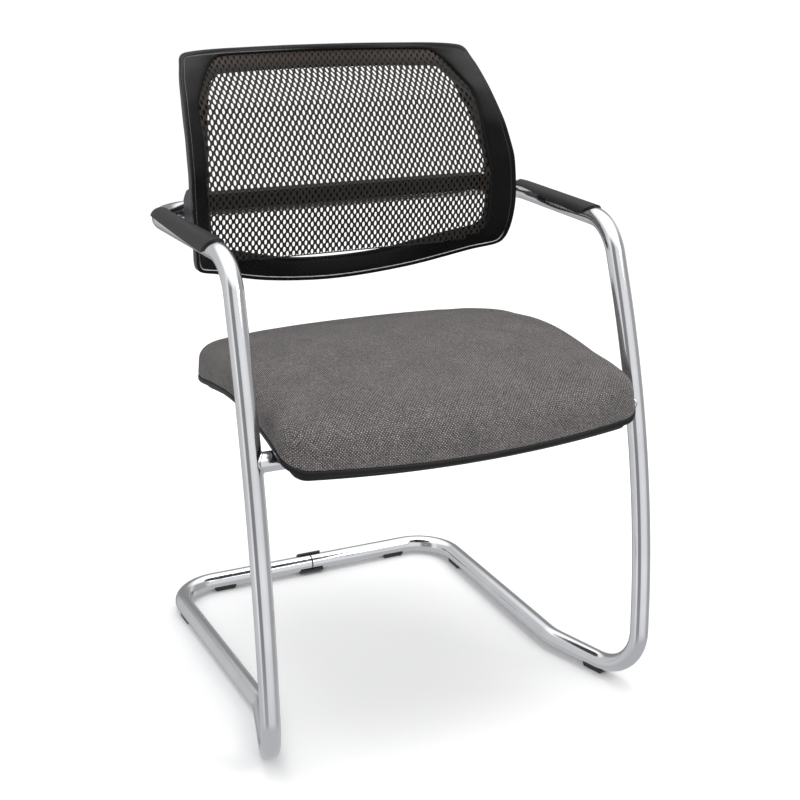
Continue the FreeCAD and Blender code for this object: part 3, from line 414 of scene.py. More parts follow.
def rounded(points, radii, step=3.0):
    """Points of straight runs joined by tangent arcs."""
    P = [np.array(p, float) for p in points]
    out = [P[0]]
    for i in range(1, len(P) - 1):
        u = P[i - 1] - P[i]
        v = P[i + 1] - P[i]
        u /= np.linalg.norm(u)
        v /= np.linalg.norm(v)
        half = math.acos(max(-1.0, min(1.0, float(u @ v)))) / 2.0
        back = radii[i] / math.tan(half)
        w = (u + v) / np.linalg.norm(u + v)
        c = P[i] + w * radii[i] / math.sin(half)
        a = P[i] + u * back - c
        b = P[i] + v * back - c
        turn = math.pi - 2 * half
        n = max(4, int(math.degrees(turn) / (step if radii[i] < 500 else 0.8)))
        for k in range(n + 1):
            t = k / n
            d = (math.sin((1 - t) * turn) * a + math.sin(t * turn) * b) / math.sin(turn)
            out.append(c + d)
    out.append(P[-1])
    return np.array(out)


def frames(path):
    """Tangent and two normals at every point, carried along without twist."""
    T = np.gradient(path, axis=0)
    T[0], T[-1] = path[1] - path[0], path[-1] - path[-2]
    for i in range(1, len(path) - 1):
        a = path[i] - path[i - 1]
        b = path[i + 1] - path[i]
        T[i] = a / np.linalg.norm(a) + b / np.linalg.norm(b)
    T /= np.linalg.norm(T, axis=1)[:, None]
    u = np.cross(T[0], [0, 0, 1.0])
    if np.linalg.norm(u) < 0.1:
        u = np.cross(T[0], [1.0, 0, 0])
    u /= np.linalg.norm(u)
    U = [u]
    for i in range(1, len(path)):
        u = U[-1] - T[i] * (U[-1] @ T[i])
        U.append(u / np.linalg.norm(u))
    U = np.array(U)
    return T, U, np.cross(T, U)


def tube_build(path, radius, n=64, chamfer=0.5):
    T, U, V = frames(path)
    rows, rad = [path[0]], [radius - chamfer]
    idx = [0]
    rows.append(path[0] + T[0] * chamfer)
    rad.append(radius)
    idx.append(0)
    for i in range(1, len(path) - 1):
        rows.append(path[i])
        rad.append(radius)
        idx.append(i)
    rows.append(path[-1] - T[-1] * chamfer)
    rad.append(radius)
    idx.append(len(path) - 1)
    rows.append(path[-1])
    rad.append(radius - chamfer)
    idx.append(len(path) - 1)
    th = np.linspace(0, 2 * np.pi, n, endpoint=False)
    pts = np.array([[p + r * (math.cos(t) * U[k] + math.sin(t) * V[k]) for t in th] for p, r, k in zip(rows, rad, idx)])
    b = Build()
    b.grid(pts, close_v=True)
    m = len(rows)
    b.cap([k for k in range(n)][::-1])
    b.cap([(m - 1) * n + k for k in range(n)])
    return b


def lathe(profile, base, direction, n=32):
    """A turned piece: profile of (radius, height) from the base along a direction."""
    d = np.array(direction, float)
    d /= np.linalg.norm(d)
    u = np.cross(d, [0, 0, 1.0])
    if np.linalg.norm(u) < 0.1:
        u = np.cross(d, [1.0, 0, 0])
    u /= np.linalg.norm(u)
    v = np.cross(d, u)
    th = np.linspace(0, 2 * np.pi, n, endpoint=False)
    pts = np.array([[np.array(base) + d * h + max(r, 0.01) * (math.cos(t) * u + math.sin(t) * v) for t in th]
                    for r, h in profile])
    b = Build()
    b.grid(pts, close_v=True)
    b.cap([k for k in range(n)][::-1])
    b.cap([(len(profile) - 1) * n + k for k in range(n)])
    return b


def screw_head(base, direction, r, h, socket):
    """A button head with a hexagonal socket."""
    d = np.array(direction, float)
    d /= np.linalg.norm(d)
    u = np.cross(d, [0, 0, 1.0])
    if np.linalg.norm(u) < 0.1:
        u = np.cross(d, [1.0, 0, 0])
    u /= np.linalg.norm(u)
    v = np.cross(d, u)
    n = 36
    th = np.linspace(0, 2 * np.pi, n, endpoint=False)

    def hexr(t):
        a = (t + math.pi / 6) % (math.pi / 3) - math.pi / 6
        return socket * math.cos(math.pi / 6) / math.cos(a)
    rows = []
    for rr, hh in ((r * 0.98, 0.0), (r, h * 0.15), (r * 0.97, h * 0.45), (r * 0.88, h * 0.75), (r * 0.74, h * 0.93), (r * 0.62, h)):
        rows.append([(rr, hh)] * n)
    rows.append([(hexr(t) + 0.25, h) for t in th])
    rows.append([(hexr(t), h - 0.25) for t in th])
    rows.append([(hexr(t) * 0.98, h * 0.35) for t in th])
    pts = np.array([[np.array(base) + d * hh + rr * (math.cos(t) * u + math.sin(t) * v) for (rr, hh), t in zip(row, th)]
                    for row in rows])
    b = Build()
    b.grid(pts, close_v=True)
    b.cap([k for k in range(n)][::-1])
    b.cap([(len(rows) - 1) * n + k for k in range(n)])
    return b


def spline(rows):
    """Natural cubic spline through (x, y) rows, as a function of arrays."""
    x = np.array([r[0] for r in rows], float)
    y = np.array([r[1] for r in rows], float)
    n = len(x)
    h = np.diff(x)
    A = np.zeros((n, n))
    rhs = np.zeros(n)
    A[0, 0] = A[-1, -1] = 1.0
    for i in range(1, n - 1):
        A[i, i - 1], A[i, i], A[i, i + 1] = h[i - 1], 2 * (h[i - 1] + h[i]), h[i]
        rhs[i] = 6 * ((y[i + 1] - y[i]) / h[i] - (y[i] - y[i - 1]) / h[i - 1])
    M = np.linalg.solve(A, rhs)

    def f(t):
        t = np.asarray(t, float)
        k = np.clip(np.searchsorted(x, t) - 1, 0, n - 2)
        a, b_, hh = x[k + 1] - t, t - x[k], h[k]
        return (M[k] * a ** 3 + M[k + 1] * b_ ** 3) / (6 * hh) + (y[k] / hh - M[k] * hh / 6) * a + (y[k + 1] / hh - M[k + 1] * hh / 6) * b_
    return f


def smooth_table(rows):
    xs = np.array([r[0] for r in rows], float)
    vs = np.array([r[1] for r in rows], float)
    w = np.array([math.exp(-(k / 2.2) ** 2) for k in range(-4, 5)])

    def f(z):
        z = np.asarray(z, float)
        return sum(wk * np.interp(z + 4.0 * k, xs, vs) for k, wk in zip(range(-4, 5), w)) / w.sum()
    return f


# --------------------------------------------------------------- tube frame
AH = 16.5
REAR_Y = 282.23
ARM_Y, ARM_Z = 141.0, 643.1
CORNERS = [(0.6, REAR_Y, AH), (233.8, REAR_Y, AH), (226.1, -109.7, AH), (268.6, -266.8, AH), (270.7, -260.4, 330.7),
           (262.55, -159.2, 638.3), (275.4, ARM_Y, ARM_Z), (0.0, ARM_Y, ARM_Z)]
RADII = [0, 65.5, 86.0, 70.0, 1600.0, 60.0, 60.6, 0]
PATH = rounded(CORNERS, RADII)
right = tube_build(PATH, 12.5)
settle(make("frame_tube_right_visual", right.v, right.f, CHROME), "frame_tube_right")
left = right.mirrored()
settle(make("frame_tube_left_visual", left.v, left.f, CHROME), "frame_tube_left")
C = [np.array(p, float) for p in CORNERS]

# joint clip: a C-shaped strip round the floor seam, with rounded ends
clip = Build()
th0, th1 = math.radians(-140.0), math.radians(75.0)
prof = []
for t in np.linspace(th0, th1, 46):
    prof.append((16.5 * math.cos(t), 16.5 * math.sin(t)))
for k in range(1, 6):
    a = th1 + math.pi * k / 6
    c = (14.55 * math.cos(th1), 14.55 * math.sin(th1))
    prof.append((c[0] + 1.95 * math.cos(a), c[1] + 1.95 * math.sin(a)))
for t in np.linspace(th1, th0, 46):
    prof.append((12.6 * math.cos(t), 12.6 * math.sin(t)))
for k in range(1, 6):
    a = th0 + math.pi + math.pi * k / 6
    c = (14.55 * math.cos(th0), 14.55 * math.sin(th0))
    prof.append((c[0] + 1.95 * math.cos(a), c[1] + 1.95 * math.sin(a)))
prof = np.array(prof)
cen = np.array([14.55 * 0.2, -3.0])
pts = np.array([[(x, REAR_Y + p[0], AH + p[1]) for p in prof] for x in (-19, 19)])
clip.grid(pts, close_v=True)
clip.cap(list(range(len(prof)))[::-1])
clip.cap([len(prof) + k for k in range(len(prof))])
ob = make("floor_joint_clip_visual", clip.v, clip.f, RUBBER)
bevelled(ob, 0.7, 2)
settle(ob, "floor_joint_clip")


# glides: short blocks with raked ends, saddled to the tube
def glide(at, direction):
    d = np.array([direction[0], direction[1], 0.0])
    d /= np.linalg.norm(d)
    s = np.array([-d[1], d[0], 0.0])
    nu, nv = 15, 11
    us, vs = np.linspace(-1, 1, nu), np.linspace(-7.6, 7.6, nv)
    b = Build()
    top, low = [], []
    for u in us:
        rt, rl = [], []
        for v in vs:
            zt = AH - math.sqrt(12.45 ** 2 - v * v)
            ln = 15.5 + 3.5 * min(zt, 8.0) / 7.5
            rt.append(np.array([at[0], at[1], 0]) + d * u * ln + s * v + np.array([0, 0, zt]))
            rl.append(np.array([at[0], at[1], 0]) + d * u * 15.5 + s * v)
        top.append(rt)
        low.append(rl)
    top, low = np.array(top), np.array(low)
    a0 = b.grid(top)
    b0 = b.grid(low)
    edge = [(i, 0) for i in range(nu)] + [(nu - 1, j) for j in range(1, nv)] + [(i, nv - 1) for i in range(nu - 2, -1, -1)] + \
           [(0, j) for j in range(nv - 2, 0, -1)]
    for k in range(len(edge)):
        (i, j), (i2, j2) = edge[k], edge[(k + 1) % len(edge)]
        b.f.append((a0 + i * nv + j, a0 + i2 * nv + j2, b0 + i2 * nv + j2, b0 + i * nv + j))
    return b


front_dir = (C[3] - C[2]) / np.linalg.norm(C[3] - C[2])
rail_dir = (C[2] - C[1]) / np.linalg.norm(C[2] - C[1])
for tag, at, direction in (("front", C[2] + front_dir * 87.0, front_dir), ("rail", C[1] + rail_dir * 79.5, rail_dir),
                           ("rear", np.array([148.5, REAR_Y, AH]), np.array([1.0, 0, 0]))):
    for side, word in ((1, "right"), (-1, "left")):
        g = glide((side * at[0], at[1]), (side * direction[0], direction[1]))
        ob = make("glide_%s_%s_visual" % (tag, word), g.v, g.f, RUBBER)
        bevelled(ob, 0.6, 2, 50.0)
        settle(ob, "glide_%s_%s" % (tag, word))

# ------------------------------------------------------- seat cross tube, rails
CY, CZ = -226.2, 407.0
cross = tube_build(np.array([(-261.0, CY, CZ), (0, CY, CZ), (261.0, CY, CZ)]), 12.5)
settle(make("seat_cross_tube_visual", cross.v, cross.f, CHROME), "seat_cross_tube")

seg = [k for k in range(len(PATH) - 1) if (PATH[k][2] - CZ) * (PATH[k + 1][2] - CZ) <= 0 and PATH[k][1] < -100][0]
lt = PATH[seg + 1] - PATH[seg]
lt /= np.linalg.norm(lt)
lp = PATH[seg] + lt * (CZ - PATH[seg][2]) / lt[2]
bead_path = []
for a in np.linspace(0, 2 * np.pi, 73)[:-1]:
    q = np.array([0.0, CY + 12.5 * math.cos(a), CZ + 12.5 * math.sin(a)])
    tyz = np.array([0, lt[1], lt[2]])
    tyz /= np.linalg.norm(tyz)
    rel = q - np.array([0, lp[1], lp[2]])
    dist = abs(rel[1] * tyz[2] - rel[2] * tyz[1])
    xl = lp[0] + lt[0] / lt[2] * (q[2] - lp[2])
    q[0] = xl - math.sqrt(max(12.5 ** 2 - dist ** 2, 0.5))
    bead_path.append(q)
bead_path = np.array(bead_path)
bead = Build()
n = len(bead_path)
rows = []
for k in range(n):
    t = bead_path[(k + 1) % n] - bead_path[k - 1]
    t /= np.linalg.norm(t)
    o = np.array([0.0, bead_path[k][1] - CY, bead_path[k][2] - CZ])
    o /= np.linalg.norm(o)
    w = np.cross(t, o)
    r = 1.2 + 0.16 * math.sin(k * 2.1) + 0.1 * math.sin(k * 5.3)
    rows.append([bead_path[k] + o * 0.3 + r * (math.cos(a) * o + math.sin(a) * w) for a in np.linspace(0, 2 * np.pi, 12, endpoint=False)])
bead.grid(np.array(rows), close_u=True, close_v=True)
both = Build()
both.add(bead)
both.add(bead.mirrored())
settle(make("cross_tube_welds", both.v, both.f, CHROME))


def rect_tube(x0, x1, y0, y1, z0, z1, axis, r=2.2):
    """A closed rounded rectangular bar along x or y."""
    sec = []
    a0, a1 = (x0, x1) if axis == "y" else (y0, y1)
    for cx, cz, s in ((a1 - r, z1 - r, 0), (a0 + r, z1 - r, 90), (a0 + r, z0 + r, 180), (a1 - r, z0 + r, 270)):
        for k in range(5):
            t = math.radians(s + 22.5 * k)
            sec.append((cx + r * math.cos(t), cz + r * math.sin(t)))
    ends = (y0, y1) if axis == "y" else (x0, x1)
    pts = np.array([[(p[0], e, p[1]) if axis == "y" else (e, p[0], p[1]) for p in sec] for e in ends])
    b = Build()
    b.grid(pts, close_v=True)
    b.cap(list(range(len(sec)))[::-1])
    b.cap([len(sec) + k for k in range(len(sec))])
    return b


for side, word in ((1, "right"), (-1, "left")):
    x0 = side * 150 - 12.5
    rb = rect_tube(x0, x0 + 25, CY + 10.6, 44, 401, 413, "y")
    ob = make("seat_rail_%s_visual" % word, rb.v, rb.f, CHROME)
    settle(ob, "seat_rail_" + word)
tie = rect_tube(-137.5, 137.5, 14, 34, 401, 413, "x")
settle(make("seat_rear_tie_visual", tie.v, tie.f, CHROME), "seat_rear_tie")
heads = Build()
for bx in (-150, 150):
    for by in (-186.2, 13.8):
        heads.add(screw_head((bx, by, 401.0), (0, 0, -1), 5.5, 3.5, 2.3))
settle(make("seat_bolt_heads", heads.v, heads.f, ZINC), "seat_bolts")

# ---------------------------------------------------------------------- seat
RIM = [(-330.0, 374.0), (-312.0, 389.4), (-296.2, 401.2), (-251.2, 421.8), (-191.2, 433.0), (-81.2, 444.1),
       (38.8, 435.3), (110.0, 427.5), (160.0, 422.0)]
rim_z = spline(RIM)


def seat_outline(n_front=60, n_side=60, n_rear=50):
    """Right half of the plan from front middle to rear middle: points and outward normals."""
    fw, mw, rw = 245.9, 241.0, 250.2
    fy, ry = -298.7, 145.9
    fc, rc = fy + 18.2, ry - 35.9
    my = (fc + rc) / 2
    Rf = (fw ** 2 + 18.2 ** 2) / (2 * 18.2)
    Cf = np.array([0.0, fy + Rf])
    Rr = (rw ** 2 + 35.9 ** 2) / (2 * 35.9)
    Cr = np.array([0.0, ry - Rr])
    a, b, c = np.array([fw, fc]), np.array([mw, my]), np.array([rw, rc])
    A = np.array([b - a, c - a]) * 2
    rhs = np.array([b @ b - a @ a, c @ c - a @ a])
    Cs = np.linalg.solve(A, rhs)
    Rs = float(np.linalg.norm(Cs - a))

    def meet(c1, r1, c2, r2, near):
        d = np.linalg.norm(c2 - c1)
        k = (r1 * r1 - r2 * r2 + d * d) / (2 * d)
        h = math.sqrt(max(r1 * r1 - k * k, 0))
        e = (c2 - c1) / d
        p = c1 + e * k
        cand = [p + h * np.array([-e[1], e[0]]), p - h * np.array([-e[1], e[0]])]
        return min(cand, key=lambda q: np.linalg.norm(q - near))
    R1, R2 = 32.0, 96.0
    c1 = meet(Cf, Rf - R1, Cs, Rs + R1, np.array([fw - R1, fc + R1]))
    c2 = meet(Cr, Rr - R2, Cs, Rs + R2, np.array([rw - R2, rc - R2]))

    def ang(v):
        return math.atan2(v[1], v[0])
    pts, nor = [], []

    def arc(cen, rad, t0, t1, n, flip=1):
        for t in np.linspace(t0, t1, n, endpoint=False):
            e = np.array([math.cos(t), math.sin(t)])
            pts.append(cen + rad * e)
            nor.append(e * flip)
    tf = ang(c1 - Cf)
    arc(Cf, Rf, -math.pi / 2, tf, n_front)
    ts1 = ang(c1 - Cs)
    arc(c1, R1, tf, ang(Cs - c1) if ang(Cs - c1) > tf else ang(Cs - c1), 16)
    ts2 = ang(c2 - Cs)
    t1 = ts1 % (2 * math.pi)
    t2 = ts2 % (2 * math.pi)
    arc(Cs, Rs, t1, t2, n_side, -1)
    tr = ang(c2 - Cr)
    arc(c2, R2, ang(Cs - c2), tr, 30)
    arc(Cr, Rr, tr, math.pi / 2, n_rear)
    pts.append(np.array([0.0, ry]))
    nor.append(np.array([0.0, 1.0]))
    return np.array(pts), np.array(nor)


hp, hn = seat_outline()
OUT_P = np.vstack([hp, np.array([(-p[0], p[1]) for p in hp[-2:0:-1]])])
OUT_N = np.vstack([hn, np.array([(-q[0], q[1]) for q in hn[-2:0:-1]])])
# even spacing round the outline
closed = np.vstack([OUT_P, OUT_P[:1]])
cl_n = np.vstack([OUT_N, OUT_N[:1]])
ss = np.concatenate([[0], np.cumsum(np.linalg.norm(np.diff(closed, axis=0), axis=1))])
u = np.linspace(0, ss[-1], 361)[:-1]
OUT_P = np.column_stack([np.interp(u, ss, closed[:, 0]), np.interp(u, ss, closed[:, 1])])
OUT_N = np.column_stack([np.interp(u, ss, cl_n[:, 0]), np.interp(u, ss, cl_n[:, 1])])
OUT_N /= np.linalg.norm(OUT_N, axis=1)[:, None]
MID = np.array([0.0, -75.0])


def ring(inset, height):
    """The plan drawn in by an inset, at a height over the rim."""
    p = OUT_P - OUT_N * inset
    return np.column_stack([p, rim_z(p[:, 1]) + height])


def inner_ring(inset, scale, height):
    """The same drawn further in, by scaling about the middle; height may be an array."""
    p = MID + (OUT_P - OUT_N * inset - MID) * scale
    return np.column_stack([p, rim_z(p[:, 1]) + height])


def edge_distance(p):
    q = OUT_P[::3]
    return np.sqrt(((p[:, None, :2] - q[None]) ** 2).sum(2)).min(1)


def cushion_build(shrink=0.0, step=2):
    """Closed form of even quads: full size at its foot, drawn in above it so that it can swell."""
    wall, hr, ar, crown = 23.2 - shrink, 19.3, 22.1, 10.3
    rows = [ring(9, -0.5), ring(5.5, -0.5), ring(2.4, -0.35), ring(0.9, 0.5), ring(0.25, 2.2), ring(0.1 + 0.1 * shrink, 4.8)]
    for h, k in ((8.5, 0.4), (13.0, 0.75), (wall * 0.8, 0.95), (wall, 1.0)):
        rows.append(ring(shrink * k, h))
    for k in range(1, 10):
        t = math.pi / 2 * k / 9
        rows.append(ring(shrink + ar * (1 - math.cos(t)), wall + hr * math.sin(t)))
    for s in np.linspace(1.0, 0.03, 30)[1:]:
        r = inner_ring(shrink + ar, s, 0.0)
        d = edge_distance(r) - ar
        r[:, 2] += wall + hr + crown * (1 - (1 - np.clip(d, 0, 200) / 200.0) ** 2)
        rows.append(r)
    b = Build()
    pts = np.array(rows)[:, ::step]
    n = pts.shape[1]
    b.grid(pts, close_v=True)
    b.cap([(len(rows) - 1) * n + k for k in range(n)])
    base = len(b.v)
    low = np.array([inner_ring(9, s, -0.5) for s in np.linspace(1.0, 0.03, 14)])[:, ::step]
    b.grid(low[::-1], close_v=True)
    b.cap([base + k for k in range(n)][::-1])
    return b


def inflate(ob, cap=3.0):
    """A short cloth run under pressure, with each point's travel capped."""
    bpy.context.view_layer.objects.active = ob
    me = ob.data
    n = len(me.vertices)
    rest = np.zeros(n * 3)
    me.vertices.foreach_get("co", rest)
    rest = rest.reshape(-1, 3)
    over = rest[:, 2] * 1000 - rim_z(rest[:, 1] * 1000)
    pin = np.clip((6.5 - over) / 4.0, 0.0, 1.0)
    vg = ob.vertex_groups.new(name="held")
    for i in range(n):
        if pin[i] > 0:
            vg.add([i], float(pin[i]), "REPLACE")
    cm = ob.modifiers.new("cloth", "CLOTH")
    st = cm.settings
    st.quality = 5
    st.mass = 0.3
    st.tension_stiffness = 40.0
    st.compression_stiffness = 40.0
    st.shear_stiffness = 12.0
    st.bending_stiffness = 2.0
    st.air_damping = 3.0
    st.use_pressure = True
    st.uniform_pressure_force = 3.0
    st.effector_weights.gravity = 0.0
    st.vertex_group_mass = "held"
    st.pin_stiffness = 5.0
    cm.collision_settings.use_collision = False
    cm.collision_settings.use_self_collision = False
    sc = bpy.context.scene
    cm.point_cache.frame_start = 1
    cm.point_cache.frame_end = 20
    for f in range(1, 21):
        sc.frame_set(f)
    dg = bpy.context.evaluated_depsgraph_get()
    ev = ob.evaluated_get(dg)
    co = np.zeros(n * 3)
    ev.data.vertices.foreach_get("co", co)
    co = co.reshape(-1, 3)
    ob.modifiers.clear()
    sc.frame_set(1)
    move = co - rest
    length = np.linalg.norm(move, axis=1)
    print("cushion travel mm: mean %.2f max %.2f" % (length.mean() * 1000, length.max() * 1000))
    lim = cap * 0.001
    k = np.where(length > 1e-9, lim * np.tanh(length / lim) / np.maximum(length, 1e-9), 1.0)
    me.vertices.foreach_set("co", (rest + move * k[:, None]).ravel())
    me.update()
    # small steps are smoothed away over the faces, and the foot stays as drawn
    bm = bmesh.new()
    bm.from_mesh(me)
    bm.verts.ensure_lookup_table()
    nb = [[e.other_vert(v).index for e in v.link_edges] for v in bm.verts]
    bm.free()
    width = max(len(q) for q in nb)
    tab = np.array([q + [q[0]] * (width - len(q)) for q in nb])
    cnt = np.array([len(q) for q in nb], float)
    co = np.zeros(n * 3)
    me.vertices.foreach_get("co", co)
    co = co.reshape(-1, 3)
    over = co[:, 2] * 1000 - rim_z(co[:, 1] * 1000)
    w = np.clip((over - 6.0) / 8.0, 0.0, 1.0)[:, None] * 0.5
    for _ in range(4):
        acc = co[tab].sum(1) - co[tab[:, 0]] * (width - cnt)[:, None]
        co = co + w * (acc / cnt[:, None] - co)
    me.vertices.foreach_set("co", co.ravel())
    me.update()
    return ob


cb = cushion_build(0.8)
cushion = make("seat_cushion_visual", cb.v, cb.f, FABRIC, 180.0)
inflate(cushion)
for p in cushion.data.polygons:
    p.use_smooth = True
if not cushion.data.materials:
    cushion.data.materials.append(FABRIC)
sub = cushion.modifiers.new("fine", "SUBSURF")
sub.levels = sub.render_levels = 1
settle(cushion, "seat_cushion")

# shell: a rolled lip over a shallow tub
sb = Build()
rows = [ring(6.0, -0.4), ring(2.2, 0.1), ring(0.6, 0.0), ring(-0.1, -0.9), ring(-0.3, -3.0), ring(-0.1, -5.4), ring(0.8, -6.8),
        ring(2.4, -7.3), ring(6.0, -7.4), ring(7.6, -7.6)]


def tub_row(row, share):
    """Lowers a row of the tub towards the deeper front edge."""
    nose = np.interp(row[:, 1], [-312.0, -296.2, -280.0, -262.0, -246.0, -236.0], [372.5, 380.5, 387.5, 395.5, 405.5, 430.0])
    usual = rim_z(row[:, 1]) - 17.0
    low = np.minimum(nose, usual)
    row = row.copy()
    row[:, 2] = row[:, 2] + share * (low - usual)
    return row


for inset, height in ((8.6, -9.0), (9.4, -11.0), (10.6, -13.4), (12.6, -15.4), (15.4, -16.6), (19.0, -17.0)):
    rows.append(tub_row(ring(inset, height), min(1.0, (-height - 7.0) / 9.0)))
for s in np.linspace(1.0, 0.03, 40)[1:]:
    rows.append(tub_row(inner_ring(19.0, s, -17.0), 1.0))
pts = np.array(rows)
n = pts.shape[1]
sb.grid(pts, close_v=True)
sb.cap([(len(rows) - 1) * n + k for k in range(n)][::-1])
top = [pts[0]] + [inner_ring(6.0, s, -0.4) for s in np.linspace(1.0, 0.03, 5)[1:]]
base = sb.grid(np.array(top)[::-1], close_v=True)
sb.cap([base + k for k in range(n)])
for bx in (-150, 150):
    for by in (-186.2, 13.8):
        zt = float(rim_z(by)) - 16.0
        sb.add(lathe([(12.5, zt - 413.0 + 0.2), (12.5, 0.4), (12.0, 0.0), (3.2, 0.0)], (bx, by, 413.0), (0, 0, 1)))
settle(make("seat_shell_visual", sb.v, sb.f, LIP, 40.0), "seat_shell")

for name in ("seat_board",):
    NODES[name].data.materials.clear()
    NODES[name].data.materials.append(WOOD)

# ------------------------------------------------------------------ arm pads
ARM = np.array([p for p in PATH if p[2] > 634.0 and p[0] > 225.0 and p[1] > -140.0])
ARM = ARM[np.argsort(ARM[:, 1])]


def arm_at(y):
    c = np.array([np.interp(y, ARM[:, 1], ARM[:, 0]), y, np.interp(y, ARM[:, 1], ARM[:, 2])])
    a = np.array([np.interp(y + 1.5, ARM[:, 1], ARM[:, 0]), y + 1.5, np.interp(y + 1.5, ARM[:, 1], ARM[:, 2])])
    b = np.array([np.interp(y - 1.5, ARM[:, 1], ARM[:, 0]), y - 1.5, np.interp(y - 1.5, ARM[:, 1], ARM[:, 2])])
    t = (a - b) / np.linalg.norm(a - b)
    s_ = np.cross(t, [0, 0, 1.0])
    s_ /= np.linalg.norm(s_)
    return c, s_, np.cross(s_, t)


def pad_build():
    ri, ro = 12.55, 15.4
    nth = 44
    b = Build()
    ys = list(-117.8 + 17.2 * (np.linspace(0, 1, 15) ** 1.6)) + list(np.linspace(-98, 91, 34)) + [93.0, 94.2, 94.9]
    outer, inner = [], []
    for y in ys:
        c, sv, uv = arm_at(y)
        lim = []
        for extra in (4.5, 0.0):
            low = np.interp(y, [-101.0, 79.0], [-4.2, 5.4]) + extra
            rake = np.interp(y, [-118.0, -100.0 + extra * 0.6], [15.35, -4.4 + extra])
            lim.append(math.acos(max(-1.0, min(0.9995, max(low, rake) / ro))))
        ths = np.linspace(-lim[0], lim[1], nth)
        outer.append([c + ro * (math.sin(t) * sv + math.cos(t) * uv) for t in ths])
        inner.append([c + ri * (math.sin(t) * sv + math.cos(t) * uv) for t in ths])
    outer, inner = np.array(outer), np.array(inner)
    nu, nv = outer.shape[:2]
    a0 = b.grid(outer)
    b0 = b.grid(inner)
    edge = [(i, 0) for i in range(nu)] + [(nu - 1, j) for j in range(1, nv)] + [(i, nv - 1) for i in range(nu - 2, -1, -1)] + \
           [(0, j) for j in range(nv - 2, 0, -1)]
    for k in range(len(edge)):
        (i, j), (i2, j2) = edge[k], edge[(k + 1) % len(edge)]
        b.f.append((a0 + i * nv + j, a0 + i2 * nv + j2, b0 + i2 * nv + j2, b0 + i * nv + j))
    return b


pb = pad_build()
for side, word in ((1, "right"), (-1, "left")):
    q = pb if side > 0 else pb.mirrored()
    ob = make("arm_pad_%s_visual" % word, q.v, q.f, PAD, 50.0)
    bevelled(ob, 0.9, 3, 60.0)
    settle(ob, "arm_pad_" + word)

# ---------------------------------------------------------------------- back
YS = 81.2
middle = smooth_table([(500, 235.5), (524, 236), (563, 238), (600, 239), (650, 240), (700, 243), (745, 250),
                       (790, 256), (825, 261), (842, 263), (857, 265), (880, 268)])
wrap = smooth_table([(500, 71), (524, 75), (545, 79), (563, 86), (585, 97), (600, 103), (630, 107), (700, 106.5),
                     (745, 95), (790, 69), (825, 39), (842, 21), (857, 10), (880, 0)])


def face_y(x, z):
    return middle(z) - wrap(z) * (np.asarray(x, float) / 240.0) ** 2 - YS


OUTER = [(0, 852.8), (60, 852.6), (120, 851.7), (160, 850.9), (186, 849.6), (200, 848.3), (209, 846.2), (214.4, 841.6),
         (217.2, 834.0), (220.2, 825), (226.8, 795), (231.8, 765), (235.7, 735), (238.6, 705), (240.1, 675),
         (240.2, 645), (238.6, 615), (236.0, 592), (233.6, 580), (228.5, 571.0), (220, 566.2), (200, 560.0),
         (180, 553.2), (150, 543.6), (120, 535.8), (90, 530.2), (60, 526.2), (30, 523.6), (0, 522.7)]
BEZEL_IN = [(0, 843.4), (60, 843.3), (115, 842.6), (150, 841.6), (162, 839.4), (172, 832.0), (183, 819), (193, 804),
            (201.5, 790), (205.5, 775), (207, 745), (207.5, 715), (208.4, 700), (210, 685), (210.6, 665), (210.2, 640),
            (209.6, 615), (207.5, 602), (202, 593.5), (190, 588.5), (170, 584.5), (150, 580.5), (120, 571.5), (90, 563.5),
            (60, 558.3), (30, 555.6), (0, 554.8)]
REAR_IN = [(0, 820.8), (60, 820.6), (115, 820.0), (150, 819.2), (168, 816.5), (177, 809.0), (184, 795), (188.5, 780),
           (192.0, 770), (195.8, 755), (198.9, 740), (201.6, 725), (203.8, 710), (205.4, 695), (206.4, 680), (207.0, 660),
           (206.8, 635), (205.8, 617), (203.2, 606), (196, 597.5), (183, 592), (165, 586.5), (150, 581.5), (120, 572.5),
           (90, 564.5), (60, 559.3), (30, 556.6), (0, 555.8)]
BC = np.array([0.0, 700.0])
NB = 720


def closed_curve(half):
    """A smooth closed curve through a half outline and its mirror image, as dense points."""
    p = np.array([(x, z) for x, z in half] + [(-x, z) for x, z in reversed(half[1:-1])], float)
    n = len(p)
    h = np.linalg.norm(np.roll(p, -1, axis=0) - p, axis=1)
    A = np.zeros((n, n))
    rhs = np.zeros((n, 2))
    for i in range(n):
        a, b_ = (i - 1) % n, (i + 1) % n
        A[i, a] += h[a]
        A[i, i] += 2 * (h[a] + h[i])
        A[i, b_] += h[i]
        rhs[i] = 6 * ((p[b_] - p[i]) / h[i] - (p[i] - p[a]) / h[a])
    M = np.linalg.solve(A, rhs)
    out = []
    for i in range(n):
        b_ = (i + 1) % n
        for t in np.linspace(0, h[i], 40, endpoint=False):
            a_, c_ = h[i] - t, t
            out.append((M[i] * a_ ** 3 + M[b_] * c_ ** 3) / (6 * h[i]) + (p[i] / h[i] - M[i] * h[i] / 6) * a_ +
                       (p[b_] / h[i] - M[b_] * h[i] / 6) * c_)
    return np.array(out)


def polar(curve, angles):
    """Radius of a curve round the back's middle at given angles."""
    d = curve - BC
    a = np.arctan2(d[:, 0], d[:, 1])
    r = np.linalg.norm(d, axis=1)
    o = np.argsort(a)
    a, r = a[o], r[o]
    a = np.concatenate([a - 2 * np.pi, a, a + 2 * np.pi])
    r = np.concatenate([r, r, r])
    return np.interp(angles, a, r)


